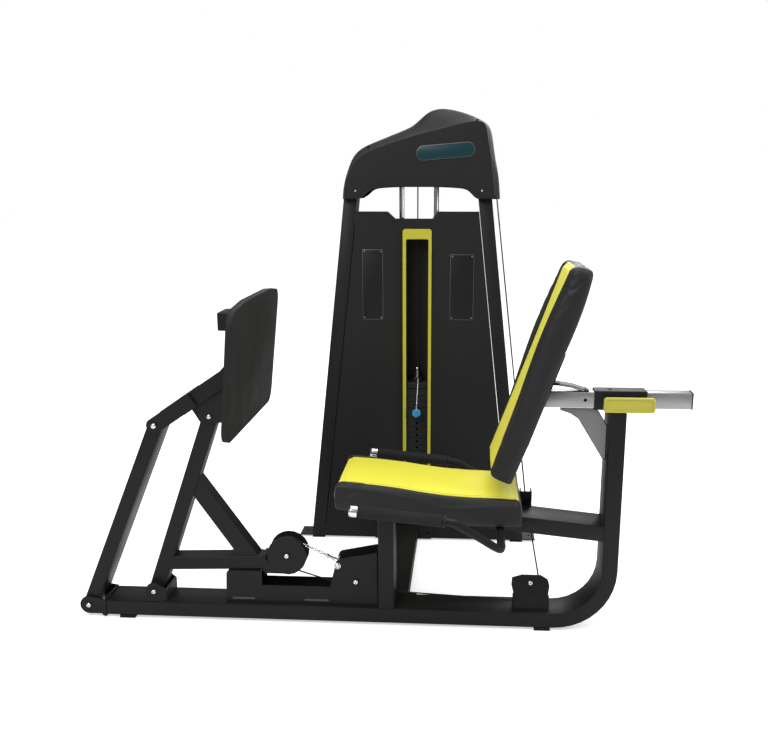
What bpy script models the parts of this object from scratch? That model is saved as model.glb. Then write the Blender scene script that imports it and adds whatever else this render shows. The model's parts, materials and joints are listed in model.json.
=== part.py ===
"""Leg press machine: floor frame, press linkage, seat, sliding backrest and a weight-stack tower.

Metres, +Z up. +X runs along the floor rail from the foot plate to the rear upright, +Y goes from the rail to the
tower. The layout below measures y from the rail's middle plane; one empty moves it all to the object's own origin,
which is the middle of its footprint.
"""

import math

import bmesh
import bpy
from mathutils import Matrix, Vector

for leftover in list(bpy.data.objects):
    bpy.data.objects.remove(leftover, do_unlink=True)

# ---------------------------------------------------------------- driving dimensions
RAIL_Y = -0.2636  # the rail's middle plane in the object's frame
GAP = 0.0003  # between pieces that touch
WALL = 0.003  # steel tube wall
HALF = 0.060  # half the width of the 50 x 120 tube

RAIL_END = -0.889
RAIL_LOW = 0.010
RAIL_TOP = 0.060
BEND = (0.579, 0.207)  # centre of the bend between rail and upright
BEND_IN = 0.147
BEND_OUT = 0.197
UPRIGHT_TOP = 0.7267

PIVOT_A = (-0.947, 0.043)  # rear link, lower
PIVOT_B = (-0.725, 0.096)  # swing arm, lower
PIVOT_C = (-0.685, 0.662)  # rear link, upper: the open pivot
PIVOT_D = (-0.513, 0.690)  # swing arm, upper
ARM_PULLEY = (-0.2845, 0.2223)
HOUSING_PULLEY = (-0.058, 0.143)
ANCHOR = (-0.117, 0.197)
ARM_R = 0.050
HOUSING_R = 0.042
FLOOR_R = 0.0345
TOP_R = 0.040
CABLE_R = 0.0025
SEAT_GRADE = 0.1007  # fall of the seat beam towards the rear
FLOOR_LEAN = math.radians(18)
OUTER_LEAN = math.radians(31.5)
BACK_LEAN = math.radians(19.8)
PLATE_LEAN = math.radians(5.7)

TOWER_X = 0.099
TOWER_FRONT = 0.690
TOWER_BACK = 0.790
TOWER_HALF = 0.427
TOWER_SLOPE = 0.1133  # the uprights lean in by this much per metre
STACK_Y = 0.748
STACK_TOP = 0.645
PITCH = 0.025
RODS = (0.0366, 0.1670)
STEM_X = 0.097

# ---------------------------------------------------------------- collections, materials, empties
scene = bpy.context.scene
parts = bpy.data.collections.new("leg_press")
cutters = bpy.data.collections.new("cutters")
scene.collection.children.link(parts)
scene.collection.children.link(cutters)


def material(name, colour, roughness, metallic=0.0):
    made = bpy.data.materials.new(name)
    made.use_nodes = True
    shader = made.node_tree.nodes["Principled BSDF"]
    shader.inputs["Base Color"].default_value = (*colour, 1.0)
    shader.inputs["Roughness"].default_value = roughness
    shader.inputs["Metallic"].default_value = metallic
    return made


BLACK = (0.022, 0.022, 0.023)
YELLOW = (0.85, 0.80, 0.07)


def empty(name, at, parent=None):
    made = bpy.data.objects.new(name, None)
    made.location = at
    made.parent = parent
    parts.objects.link(made)
    return made


layout = empty("layout", (0.0, RAIL_Y, 0.0))


# ---------------------------------------------------------------- shape helpers
def new_object(name, bm):
    mesh = bpy.data.meshes.new(name)
    bm.to_mesh(mesh)
    bm.free()
    made = bpy.data.objects.new(name, mesh)
    cutters.objects.link(made)
    return made


def as_mesh(curve):
    """The curve's evaluated shape as a closed mesh object, with its caps welded on."""
    bpy.context.view_layer.update()
    evaluated = curve.evaluated_get(bpy.context.evaluated_depsgraph_get())
    mesh = bpy.data.meshes.new_from_object(evaluated)
    bm = bmesh.new()
    bm.from_mesh(mesh)
    bmesh.ops.remove_doubles(bm, verts=bm.verts, dist=0.00001)
    bmesh.ops.transform(bm, matrix=curve.matrix_world.copy(), verts=bm.verts)
    bmesh.ops.dissolve_limit(bm, angle_limit=0.002, verts=bm.verts, edges=bm.edges)
    name = curve.name
    bpy.data.objects.remove(curve, do_unlink=True)
    return new_object(name, bm)


def sheet(name, outline, thickness, frame, holes=()):
    """A flat outline in the frame's XY plane, half its thickness to each side."""
    curve = bpy.data.curves.new(name, "CURVE")
    curve.dimensions = "2D"
    curve.fill_mode = "BOTH"
    curve.extrude = thickness / 2
    for ring in (outline, *holes):
        spline = curve.splines.new("POLY")
        spline.points.add(len(ring) - 1)
        for point, (u, v) in zip(spline.points, ring):
            point.co = (u, v, 0.0, 1.0)
        spline.use_cyclic_u = True
    made = bpy.data.objects.new(name, curve)
    cutters.objects.link(made)
    made.matrix_world = frame
    return as_mesh(made)


def slab(name, outline, y0, y1, holes=()):
    """A side outline of (x, z) points, from y0 to y1."""
    frame = Matrix.Translation((0.0, (y0 + y1) / 2, 0.0)) @ Matrix.Rotation(math.pi / 2, 4, "X")
    return sheet(name, outline, y1 - y0, frame, holes)


def plan(name, outline, z0, z1):
    """A plan outline of (x, y) points, from z0 to z1."""
    return sheet(name, outline, z1 - z0, Matrix.Translation((0.0, 0.0, (z0 + z1) / 2)))


def box(name, x0, x1, y0, y1, z0, z1):
    bm = bmesh.new()
    bmesh.ops.create_cube(bm, size=1.0)
    bmesh.ops.scale(bm, vec=(x1 - x0, y1 - y0, z1 - z0), verts=bm.verts)
    bmesh.ops.translate(bm, vec=((x0 + x1) / 2, (y0 + y1) / 2, (z0 + z1) / 2), verts=bm.verts)
    return new_object(name, bm)


def rod(name, start, end, radius, sides=16):
    start = Vector(start)
    span = Vector(end) - start
    turn = span.to_track_quat("Z", "Y").to_matrix().to_4x4()
    frame = Matrix.Translation(start + span / 2) @ turn
    bm = bmesh.new()
    bmesh.ops.create_cone(
        bm, cap_ends=True, segments=sides, radius1=radius, radius2=radius, depth=span.length, matrix=frame
    )
    return new_object(name, bm)


def drill(centre, radius, y0, y1, sides=16):
    return rod("drill", (centre[0], y0, centre[1]), (centre[0], y1, centre[1]), radius, sides)


def turned(name, profile, start, axis, steps=24, ring=False):
    """A profile of (radius, height) points, top to bottom, turned about the axis through start."""
    bm = bmesh.new()
    points = [bm.verts.new((radius, 0.0, height)) for radius, height in profile]
    for first, second in zip(points, points[1:]):
        bm.edges.new((first, second))
    if ring:
        bm.edges.new((points[-1], points[0]))
    made = new_object(name, bm)
    screw = made.modifiers.new("turn", "SCREW")
    screw.steps = steps
    screw.render_steps = steps
    screw.use_merge_vertices = True
    screw.merge_threshold = 0.00005
    frame = Matrix.Translation(start) @ Vector(axis).to_track_quat("Z", "Y").to_matrix().to_4x4()
    made.matrix_world = frame
    return as_mesh(made)


def wire(name, points, radius, resolution=2):
    """A round wire or tube through the points, with flat caps."""
    curve = bpy.data.curves.new(name, "CURVE")
    curve.dimensions = "3D"
    curve.bevel_depth = radius
    curve.bevel_resolution = resolution
    curve.use_fill_caps = True
    spline = curve.splines.new("POLY")
    spline.points.add(len(points) - 1)
    for point, place in zip(spline.points, points):
        point.co = (*place, 1.0)
    made = bpy.data.objects.new(name, curve)
    cutters.objects.link(made)
    return as_mesh(made)


def boolean(body, tool, operation):
    tool.hide_render = True
    tool.display_type = "WIRE"
    modifier = body.modifiers.new(operation.lower(), "BOOLEAN")
    modifier.operation = operation
    modifier.solver = "EXACT"
    modifier.object = tool
    return body


def cut(body, *tools):
    for tool in tools:
        boolean(body, tool, "DIFFERENCE")
    return body


def join(body, *others):
    for other in others:
        boolean(body, other, "UNION")
    return body


def weldment(body):
    """Large weldments of crossing tubes, which the exact solver leaves open."""
    for modifier in body.modifiers:
        if modifier.type == "BOOLEAN":
            modifier.solver = "MANIFOLD"
    return body


def rounded(body, width=0.003, segments=2, angle=40):
    bevel = body.modifiers.new("rounded edges", "BEVEL")
    bevel.width = width
    bevel.segments = segments
    bevel.limit_method = "ANGLE"
    bevel.angle_limit = math.radians(angle)
    bevel.harden_normals = False
    return body


def node(body, name, look, hang=None):
    """Names a finished piece, gives it its material, and parents it to the layout or to its joint's empty."""
    cutters.objects.unlink(body)
    parts.objects.link(body)
    body.name = name
    body.data.name = name
    body.data.materials.clear()
    body.data.materials.append(look)
    body.data.shade_smooth()
    body.data.set_sharp_from_angle(angle=math.radians(35))
    settle(body, hang or layout, hang.location.copy() if hang else Vector())
    return body


def settle(body, parent, origin):
    """Hangs a body and the tools of its Booleans from one empty, without moving their shapes in the layout."""
    body.data.transform(Matrix.Translation(-origin))
    body.parent = parent
    for modifier in body.modifiers:
        if modifier.type == "BOOLEAN":
            settle(modifier.object, parent, origin)


# ---------------------------------------------------------------- outline helpers
def arc(centre, radius, start, end, steps):
    """Points on an arc, angles in degrees, both ends included."""
    found = []
    for step in range(steps + 1):
        angle = math.radians(start + (end - start) * step / steps)
        found.append((centre[0] + radius * math.cos(angle), centre[1] + radius * math.sin(angle)))
    return found


def fillet(points, radius, steps=4):
    """The closed outline with each corner rounded, as far as its sides allow."""
    corners = [Vector(point) for point in points]
    found = []
    for index, corner in enumerate(corners):
        before = corners[index - 1] - corner
        after = corners[(index + 1) % len(corners)] - corner
        half = before.angle(after) / 2
        reach = min(radius / math.tan(half), before.length * 0.45, after.length * 0.45)
        actual = reach * math.tan(half)
        middle = corner + (before.normalized() + after.normalized()).normalized() * (actual / math.sin(half))
        first = corner + before.normalized() * reach
        last = corner + after.normalized() * reach
        start = math.atan2(first.y - middle.y, first.x - middle.x)
        turn = math.atan2(last.y - middle.y, last.x - middle.x) - start
        turn = (turn + math.pi) % (2 * math.pi) - math.pi
        for step in range(steps + 1):
            angle = start + turn * step / steps
            found.append((middle.x + actual * math.cos(angle), middle.y + actual * math.sin(angle)))
    return found


def rectangle(x0, x1, z0, z1):
    return [(x0, z0), (x1, z0), (x1, z1), (x0, z1)]


def bar(start, end, width, lead=0.0, trail=0.0):
    """A straight bar's outline between two points, run on by lead and trail."""
    first = Vector(start)
    last = Vector(end)
    along = (last - first).normalized()
    side = Vector((-along.y, along.x)) * (width / 2)
    first = first - along * lead
    last = last + along * trail
    return [tuple(first - side), tuple(last - side), tuple(last + side), tuple(first + side)]


def link_outline(start, end, width, steps=8):
    """A bar with a half-round end about each of its pivots."""
    angle = math.degrees(math.atan2(end[1] - start[1], end[0] - start[0]))
    lower = arc(start, width / 2, angle + 90, angle + 270, steps)
    upper = arc(end, width / 2, angle - 90, angle + 90, steps)
    return lower + upper


def bolt(name, centre, near, far, look, shaft=0.008, head=0.014, hang=None):
    """A pivot bolt along Y with a domed head at the near side and a nut at the far side."""
    total = far - near + 2 * GAP
    profile = [
        (0.0, total + 0.009),
        (head * 0.8, total + 0.009),
        (head, total),
        (shaft, total),
        (shaft, 0.0),
        (head, 0.0),
        (head * 0.8, -0.009),
        (0.0, -0.009),
    ]
    start = (centre[0], near - GAP, centre[1])
    return node(turned(name, profile, start, (0, 1, 0), 12), name, look, hang)


def pulley(name, centre, axis, radius, look, hang, bore=0.0088, width=0.018, flange=0.0085):
    """A grooved pulley; the cable's middle line runs at the radius."""
    floor = radius - CABLE_R - GAP
    rim = floor + flange
    half = width / 2
    profile = [
        (bore, half),
        (rim, half),
        (rim, half - 0.003),
        (floor, 0.003),
        (floor, -0.003),
        (rim, 0.003 - half),
        (rim, -half),
        (bore, -half),
    ]
    return node(turned(name, profile, centre, axis, 20, ring=True), name, look, hang)


# ---------------------------------------------------------------- joint empties
swing_hinge = empty("swing_hinge", (PIVOT_B[0], 0.0, PIVOT_B[1]), layout)
rear_hinge = empty("rear_hinge", (PIVOT_A[0], 0.0, PIVOT_A[1]), layout)
carriage_hinge = empty("carriage_hinge", (PIVOT_D[0], 0.0, PIVOT_D[1]), layout)
arm_axis = empty("arm_axis", (ARM_PULLEY[0], 0.0, ARM_PULLEY[1]), layout)
housing_axis = empty("housing_axis", (HOUSING_PULLEY[0], 0.0, HOUSING_PULLEY[1]), layout)
floor_axis = empty("floor_axis", (0.508, 0.00375, 0.110), layout)
inner_axis = empty("inner_axis", (STEM_X + TOP_R, STACK_Y, 1.445), layout)
outer_axis = empty(
    "outer_axis",
    (0.340, STACK_Y - TOP_R * math.sin(OUTER_LEAN), 1.485 - TOP_R * math.cos(OUTER_LEAN)),
    layout,
)
stack_slide = empty("stack_slide", (STEM_X, STACK_Y, STACK_TOP), layout)
backrest_slide = empty("backrest_slide", (0.560, 0.0, 0.757), layout)
lever_hinge = empty("lever_hinge", (0.842, -0.0346, 0.750), layout)

steel = material("satin_black_frame", BLACK, 0.42)

# ---------------------------------------------------------------- main frame


def beam_top(x):
    return 0.3871 - SEAT_GRADE * (x - 0.4717)


def rail_outline(inset, run_on):
    outer = arc(BEND, BEND_OUT - inset, -90, 0, 10)
    inner = arc(BEND, BEND_IN + inset, 0, -90, 8)
    start = RAIL_END - run_on
    top = UPRIGHT_TOP + run_on
    return (
        [(start, RAIL_LOW + inset)]
        + outer
        + [(0.776 - inset, top), (0.726 + inset, top)]
        + inner
        + [(start, RAIL_TOP - inset)]
    )


def beam_outline(inset, start, end):
    low = 0.052 - inset
    return [
        (start, beam_top(start) - low),
        (end, beam_top(end) - low),
        (end, beam_top(end) - inset),
        (start, beam_top(start) - inset),
    ]


frame_body = rounded(slab("rail", rail_outline(0.0, 0.0), -HALF, HALF), 0.004, 2, 60)
post = rounded(slab("post", rectangle(0.017, 0.067, 0.0585, 0.400), -HALF, HALF), 0.004, 2)
beam = rounded(slab("beam", beam_outline(0.0, 0.017, 0.7285), -HALF, HALF), 0.004, 2)
gusset = slab(
    "gusset",
    [
        (0.7280, 0.5600),
        (0.7280, 0.6700),
        (0.7000, 0.7170),
        (0.6880, 0.7255),
        (0.5800, 0.7255),
        (0.5820, 0.7190),
        (0.6120, 0.7090),
        (0.6370, 0.6930),
        (0.7160, 0.5660),
    ],
    -0.003,
    0.003,
)
join(frame_body, post, beam, gusset)
cut(
    frame_body,
    slab("rail_bore", rail_outline(WALL, 0.01), -HALF + WALL, HALF - WALL),
    slab("post_bore", rectangle(0.020, 0.064, RAIL_TOP + WALL, 0.390), -HALF + WALL, HALF - WALL),
    slab("beam_bore", beam_outline(WALL, 0.020, 0.722), -HALF + WALL, HALF - WALL),
    rod("cable_hole", (0.0, 0.0, 0.0970), (0.09, 0.0, 0.0970), 0.010, 12),
    rod("weep_hole", (0.042, 0.030, 0.050), (0.042, 0.030, 0.075), 0.006, 8),
)
node(weldment(frame_body), "main_frame", steel)

# ---------------------------------------------------------------- link brackets on the rail
web_x = RAIL_END - GAP
rear_bracket = slab(
    "rear_bracket",
    [(web_x, 0.005), (web_x, 0.062)]
    + arc(PIVOT_A, 0.030, 62, 270, 12)
    + [(-0.905, 0.013), (-0.900, 0.005)],
    -HALF,
    HALF,
)
cut(
    rear_bracket,
    box("rear_slot", -1.0, web_x - 0.008, -HALF + 0.006, HALF - 0.006, -0.01, 0.10),
    drill(PIVOT_A, 0.009, -0.08, 0.08),
)
node(rear_bracket, "rear_link_bracket", material("bracket_black", BLACK, 0.42))

base_z = RAIL_TOP + GAP
swing_bracket = slab(
    "swing_bracket",
    [(-0.754, base_z), (-0.684, base_z), (-0.684, 0.098)]
    + arc(PIVOT_B, 0.029, 55, 180, 8),
    -0.056,
    0.056,
)
cut(
    swing_bracket,
    slab("swing_slot", [(-0.80, 0.0663), (-0.690, 0.0663), (-0.690, 0.102), (-0.62, 0.102), (-0.62, 0.2), (-0.80, 0.2)],
         -0.050, 0.050),
    drill(PIVOT_B, 0.009, -0.08, 0.08),
)
node(swing_bracket, "swing_arm_bracket", material("swing_bracket_black", BLACK, 0.42))

# ---------------------------------------------------------------- tie to the tower
tie = rounded(box("tie", -0.015, 0.105, 0.0663, 0.6837, RAIL_LOW, RAIL_TOP), 0.004, 2)
near_flange = box("near_flange", -0.045, 0.135, HALF + GAP, 0.0663 + 0.001, 0.008, 0.058)
far_flange = slab("far_flange", fillet(rectangle(-0.071, 0.161, 0.006, 0.056), 0.008), 0.6827, 0.6897)
join(tie, near_flange, far_flange)
cut(
    tie,
    box("tie_bore", -0.012, 0.102, 0.05, 0.70, RAIL_LOW + WALL, RAIL_TOP - WALL),
    drill((-0.055, 0.031), 0.005, 0.67, 0.70, 10),
    drill((0.145, 0.031), 0.005, 0.67, 0.70, 10),
)
node(tie, "tower_tie", material("tie_black", BLACK, 0.42))

# ---------------------------------------------------------------- pulley housing on the rail
housing = slab(
    "housing",
    [
        (-0.488, base_z),
        (0.0135, base_z),
        (0.012, 0.245),
        (-0.112, 0.2190),
        (-0.121, 0.2120),
        (-0.143, 0.121),
        (-0.367, 0.121),
        (-0.367, 0.170),
        (-0.476, 0.170),
        (-0.484, 0.162),
    ],
    -0.040,
    0.040,
)
cut(
    housing,
    box("channel", -0.372, 0.020, -0.036, 0.036, base_z + 0.005, 0.30),
    box("block_hollow", -0.482, -0.360, -0.036, 0.036, base_z + 0.005, 0.165),
    drill(HOUSING_PULLEY, 0.009, -0.06, 0.06),
    drill(ANCHOR, 0.0075, -0.06, 0.06),
    slab("slot_a", fillet(rectangle(-0.468, -0.392, 0.070, 0.078), 0.0035, 2), -0.06, 0.0),
    slab("slot_b", fillet(rectangle(-0.228, -0.148, 0.070, 0.078), 0.0035, 2), -0.06, 0.0),
)
node(housing, "cable_housing", material("housing_black", BLACK, 0.42))

# ---------------------------------------------------------------- floor pulley and its hood
up_lean = Vector((0.0, math.sin(FLOOR_LEAN), math.cos(FLOOR_LEAN)))
floor_normal = Vector((0.0, math.cos(FLOOR_LEAN), -math.sin(FLOOR_LEAN)))
floor_centre = Vector(floor_axis.location)
hood_centre = Vector((0.508, 0.0116, 0.1342))


def lean_frame(offset):
    """Local X along the rail, local Y up the lean, through the hood's middle moved along the pulley's axis."""
    frame = Matrix((Vector((1, 0, 0)), up_lean, -floor_normal)).transposed().to_4x4()
    return Matrix.Translation(hood_centre + floor_normal * offset) @ frame


hood_shape = [
    (-0.052, -0.040),
    (0.057, -0.040),
    (0.062, -0.008),
    (0.057, 0.012),
    (0.036, 0.024),
    (-0.026, 0.024),
    (-0.058, 0.014),
    (-0.060, -0.010),
]
hood = sheet("hood_front", hood_shape, 0.003, lean_frame(-0.0145))
hood_rear = sheet("hood_rear", hood_shape, 0.003, lean_frame(0.0145))
skirt = sheet(
    "hood_skirt",
    [(-0.0175, 0.1000), (-0.0125, 0.1030), (-0.0275, base_z + 0.002), (-0.0310, base_z + 0.002)],
    0.116,
    Matrix.Translation((0.5105, 0.0, 0.0)) @ Matrix(((0, 0, 1), (1, 0, 0), (0, 1, 0))).to_4x4(),
)
rear_wall = sheet(
    "hood_wall",
    [(0.0115, 0.0945), (0.0162, 0.0945), (0.0185, base_z + 0.002), (0.0145, base_z + 0.002)],
    0.116,
    Matrix.Translation((0.5105, 0.0, 0.0)) @ Matrix(((0, 0, 1), (1, 0, 0), (0, 1, 0))).to_4x4(),
)
hood_base = box("hood_base", 0.454, 0.567, -0.034, 0.034, base_z, base_z + 0.004)
join(hood, skirt, hood_rear, rear_wall, hood_base)
near_pin = floor_centre - floor_normal * 0.03
far_pin = floor_centre + floor_normal * 0.03
cut(hood, rod("floor_drill", near_pin, far_pin, 0.009, 16))
node(hood, "floor_pulley_housing", material("hood_black", BLACK, 0.42))

guide = box("guide_plate", 0.470, 0.508, HALF + GAP, HALF + GAP + 0.004, 0.345, 0.4300)
guide_left = box("guide_left", 0.470, 0.474, HALF + 0.002, 0.100, 0.385, 0.4295)
guide_right = box("guide_right", 0.504, 0.508, HALF + 0.002, 0.100, 0.385, 0.4295)
guide_pin = rod("guide_pin", (0.471, 0.0914, 0.4002), (0.507, 0.0914, 0.4002), 0.004, 12)
join(guide, guide_left, guide_right, guide_pin)
node(guide, "cable_guide_bracket", material("guide_black", BLACK, 0.45))

# ---------------------------------------------------------------- feet
rubber = material("foot_rubber", (0.012, 0.012, 0.012), 0.7)
node(box("foot", -0.845, -0.794, -HALF, HALF, 0.0, RAIL_LOW - GAP), "rail_foot_front", rubber)
node(box("foot", 0.520, 0.571, -HALF, HALF, 0.0, RAIL_LOW - GAP), "rail_foot_rear", rubber)
for side, name in ((-1, "tower_foot_left"), (1, "tower_foot_right")):
    middle = TOWER_X + side * 0.400
    foot = box("foot", middle - 0.025, middle + 0.025, TOWER_FRONT, TOWER_BACK, 0.0, 0.006 - GAP)
    node(foot, name, material(name + "_rubber", (0.012, 0.012, 0.012), 0.7))

# ---------------------------------------------------------------- press linkage
link_black = material("link_black", BLACK, 0.40)
rear_link = slab("rear_link", link_outline(PIVOT_A, PIVOT_C, 0.045), -0.050, 0.050)
rounded(rear_link, 0.003, 2, 60)
rear_axis = (Vector(PIVOT_C) - Vector(PIVOT_A)).normalized()
link_start = Vector(PIVOT_A) + rear_axis * 0.035
link_end = Vector(PIVOT_C) - rear_axis * 0.035
cut(
    rear_link,
    slab("rear_link_bore", bar(link_start, link_end, 0.039), -0.047, 0.047),
    drill(PIVOT_A, 0.0088, -0.08, 0.08),
    drill(PIVOT_C, 0.0088, -0.08, 0.08),
    rod("link_vent", (link_start.x - 0.05, 0.0, link_start.y + 0.06), (link_start.x + 0.02, 0, link_start.y + 0.03),
        0.004, 8),
)
node(rear_link, "rear_link", link_black, rear_hinge)

swing = slab("swing_link", link_outline(PIVOT_B, PIVOT_D, 0.048), -0.030, 0.030)
rounded(swing, 0.003, 2, 60)
lever = slab("lever", [(-0.690, 0.1625), (-0.362, 0.1745), (-0.362, 0.2200), (-0.690, 0.2080)], -0.030, 0.030)
rounded(lever, 0.003, 1)
brace = slab("brace", [(-0.585, 0.424), (-0.440, 0.2105), (-0.374, 0.2130), (-0.585, 0.5170)], -0.026, 0.026)
bushing = rod("bushing", (PIVOT_B[0], -0.0490, PIVOT_B[1]), (PIVOT_B[0], 0.0490, PIVOT_B[1]), 0.0205, 20)
top_bushing = rod("top_bushing", (PIVOT_D[0], -0.0350, PIVOT_D[1]), (PIVOT_D[0], 0.0350, PIVOT_D[1]), 0.018, 20)
fork_plate = box("fork_plate", -0.3640, -0.3540, -0.030, 0.030, 0.165, 0.224)
fork_shape = (
    [(-0.360, 0.160), (-0.300, 0.160)]
    + arc(ARM_PULLEY, 0.065, -86, 200, 16)
    + [(-0.360, 0.214)]
)
near_cheek = slab("near_cheek", fork_shape, -0.030, -0.026)
far_cheek = slab("far_cheek", fork_shape, 0.026, 0.030)
join(swing, lever, brace, bushing, top_bushing, fork_plate, near_cheek, far_cheek)
cut(
    swing,
    drill(PIVOT_B, 0.0088, -0.08, 0.08),
    drill(PIVOT_D, 0.0088, -0.08, 0.08),
    drill(ARM_PULLEY, 0.0085, -0.06, 0.06),
    slab("swing_bore", bar(Vector(PIVOT_B) + Vector((0.0135, 0.0378)), Vector(PIVOT_D) - Vector((0.0135, 0.0378)), 0.042),
         -0.027, 0.027),
    slab("lever_bore", [(-0.680, 0.1660), (-0.370, 0.1775), (-0.370, 0.2170), (-0.680, 0.2055)], -0.027, 0.027),
    rod("lever_vent", (-0.420, 0.0, 0.150), (-0.420, 0.0, 0.190), 0.004, 8),
)
node(weldment(swing), "swing_arm", material("swing_black", BLACK, 0.40), swing_hinge)

ARM_ANGLE = math.radians(34)
arm_dir = Vector((math.cos(ARM_ANGLE), math.sin(ARM_ANGLE)))
arm_mid = Vector((-0.6065, 0.7135))
plate_foot = Vector((-0.4085, 0.670))
plate_up = Vector((math.sin(PLATE_LEAN), math.cos(PLATE_LEAN)))


def plate_back(z):
    """x of the foot plate's back face, less the joint gap."""
    return plate_foot.x + (z - plate_foot.y) * math.tan(PLATE_LEAN) - GAP


carriage = slab("carriage_arm", bar(arm_mid, arm_mid + arm_dir * 0.215, 0.050), -0.050, 0.050)
rounded(carriage, 0.003, 1)
clevis_shape = (
    arc(PIVOT_C, 0.025, 140, 304, 10)
    + [(-0.5900, 0.6960), (-0.545, 0.728), (-0.573, 0.768), (-0.618, 0.737)]
)
clevis_near = slab("clevis_near", clevis_shape, -0.062, -0.056)
clevis_far = slab("clevis_far", clevis_shape, 0.056, 0.062)
collar = slab("collar", bar(arm_mid + arm_dir * 0.012, arm_mid + arm_dir * 0.050, 0.044), -0.0595, 0.0595)
ear_shape = (
    [(-0.556, 0.7230), (-0.566, 0.7100), (-0.543, 0.6720)]
    + arc(PIVOT_D, 0.022, 235, 280, 4)
    + [(plate_back(0.675), 0.675), (plate_back(0.760), 0.760), (-0.470, 0.780)]
)
ear_near = slab("ear_near", ear_shape, -0.042, -0.036)
ear_far = slab("ear_far", ear_shape, 0.036, 0.042)
spine = slab(
    "spine",
    [
        (plate_back(0.674) - 0.030, 0.674),
        (plate_back(0.674), 0.674),
        (plate_back(1.018), 1.018),
        (plate_back(1.018) - 0.044, 1.018),
        (plate_back(0.962) - 0.044, 0.962),
        (plate_back(0.884) - 0.040, 0.884),
        (-0.470, 0.838),
        (-0.460, 0.780),
    ],
    -0.040,
    0.040,
)
top_box = slab("top_box", [(-0.470, 0.962), (plate_back(0.962), 0.962), (plate_back(1.018), 1.018), (-0.470, 1.018)],
               -0.050, 0.050)
join(carriage, collar, clevis_near, clevis_far, ear_near, ear_far, spine, rounded(top_box, 0.003, 1))
cut(
    carriage,
    drill(PIVOT_C, 0.0115, -0.08, 0.08),
    drill(PIVOT_D, 0.0088, -0.08, 0.08),
    slab("spine_bore", [(-0.425, 0.680), (-0.412, 0.680), (-0.387, 0.955), (-0.405, 0.955), (-0.425, 0.870)],
         -0.036, 0.0361),
    rod("spine_vent", (-0.4185, 0.0, 0.660), (-0.4185, 0.0, 0.700), 0.004, 8),
)
node(weldment(carriage), "foot_carriage", material("carriage_black", BLACK, 0.40), carriage_hinge)

plate_frame = Matrix((Vector((0, 1, 0)), Vector((plate_up.x, 0, plate_up.y)), Vector((plate_up.y, 0, -plate_up.x))))
plate_frame = plate_frame.transposed().to_4x4()
plate_middle = Vector((plate_foot.x, 0.0, plate_foot.y)) + plate_frame.to_3x3() @ Vector((0.0, 0.201, 0.009))
foot_plate = sheet(
    "foot_plate",
    fillet(
        [(-0.298, -0.201), (0.298, -0.201), (0.312, 0.186), (0.150, 0.201), (-0.150, 0.201), (-0.312, 0.186)],
        0.045,
        5,
    ),
    0.018,
    Matrix.Translation(plate_middle) @ plate_frame,
)
rounded(foot_plate, 0.005, 2, 60)
node(foot_plate, "footplate", material("footplate_black", (0.03, 0.03, 0.031), 0.55), carriage_hinge)

bright = material("bolt_chrome", (0.75, 0.75, 0.76), 0.22, 1.0)
bolt("rear_link_bolt", PIVOT_A, -HALF, HALF, bright)
bolt("swing_arm_bolt", PIVOT_B, -0.056, 0.056, bright)
bolt("carriage_bolt", PIVOT_C, -0.0625, 0.0625, bright, head=0.0165, hang=rear_hinge)
bolt("swing_top_bolt", PIVOT_D, -0.042, 0.042, bright, hang=swing_hinge)
bolt("arm_pulley_bolt", ARM_PULLEY, -0.030, 0.030, bright, hang=swing_hinge)
bolt("housing_pulley_bolt", HOUSING_PULLEY, -0.040, 0.040, bright)

pulley_black = material("pulley_black", (0.02, 0.02, 0.02), 0.5)
pulley("arm_pulley", arm_axis.location, (0, 1, 0), ARM_R, pulley_black, arm_axis)
pulley("housing_pulley", housing_axis.location, (0, 1, 0), HOUSING_R, pulley_black, housing_axis)
pulley("floor_pulley", floor_axis.location, floor_normal, FLOOR_R, pulley_black, floor_axis, flange=0.0048)
outer_normal = Vector((0.0, math.cos(OUTER_LEAN), -math.sin(OUTER_LEAN)))
pulley("top_pulley_inner", inner_axis.location, (0, 1, 0), TOP_R, pulley_black, inner_axis)
pulley("top_pulley_outer", outer_axis.location, outer_normal, TOP_R, pulley_black, outer_axis)

floor_bolt = turned(
    "floor_bolt",
    [
        (0.0, 0.0235),
        (0.008, 0.0235),
        (0.010, 0.0163),
        (0.0080, 0.0163),
        (0.0080, -0.0163),
        (0.010, -0.0163),
        (0.008, -0.0235),
        (0.0, -0.0235),
    ],
    floor_centre,
    floor_normal,
    12,
)
node(floor_bolt, "floor_pulley_bolt", bright)


# ---------------------------------------------------------------- cables
def wrap(centre, across, up, radius, start, end, steps):
    """Points round a pulley: angles in degrees from the across axis towards the up axis."""
    found = []
    for step in range(steps + 1):
        angle = math.radians(start + (end - start) * step / steps)
        found.append(Vector(centre) + Vector(across) * (radius * math.cos(angle)) + Vector(up) * (radius * math.sin(angle)))
    return found


cable_black = material("cable_black", (0.015, 0.015, 0.016), 0.45)
east = Vector((1, 0, 0))
top = Vector((0, 0, 1))
to_anchor = math.degrees(math.atan2(ANCHOR[1] - ARM_PULLEY[1], ANCHOR[0] - ARM_PULLEY[0]))
anchor_gap = math.dist(ANCHOR, ARM_PULLEY)
leave_top = to_anchor + math.degrees(math.acos(ARM_R / anchor_gap))
between = math.degrees(math.atan2(HOUSING_PULLEY[1] - ARM_PULLEY[1], HOUSING_PULLEY[0] - ARM_PULLEY[0]))
spread = math.degrees(math.asin((ARM_R - HOUSING_R) / math.dist(HOUSING_PULLEY, ARM_PULLEY)))
leave_low = between - 90 - spread
anchor_point = Vector((ANCHOR[0], 0.0, ANCHOR[1]))
arm_round = wrap(arm_axis.location, east, top, ARM_R, leave_top, leave_low + 360, 14)
first_point = arm_round[0] + (anchor_point - arm_round[0]) * 0.45
guide_point = Vector((0.489, 0.0850, 0.4030))
cable_line = [first_point] + arm_round
cable_line += wrap(housing_axis.location, east, top, HOUSING_R, leave_low, -90, 3)
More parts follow.
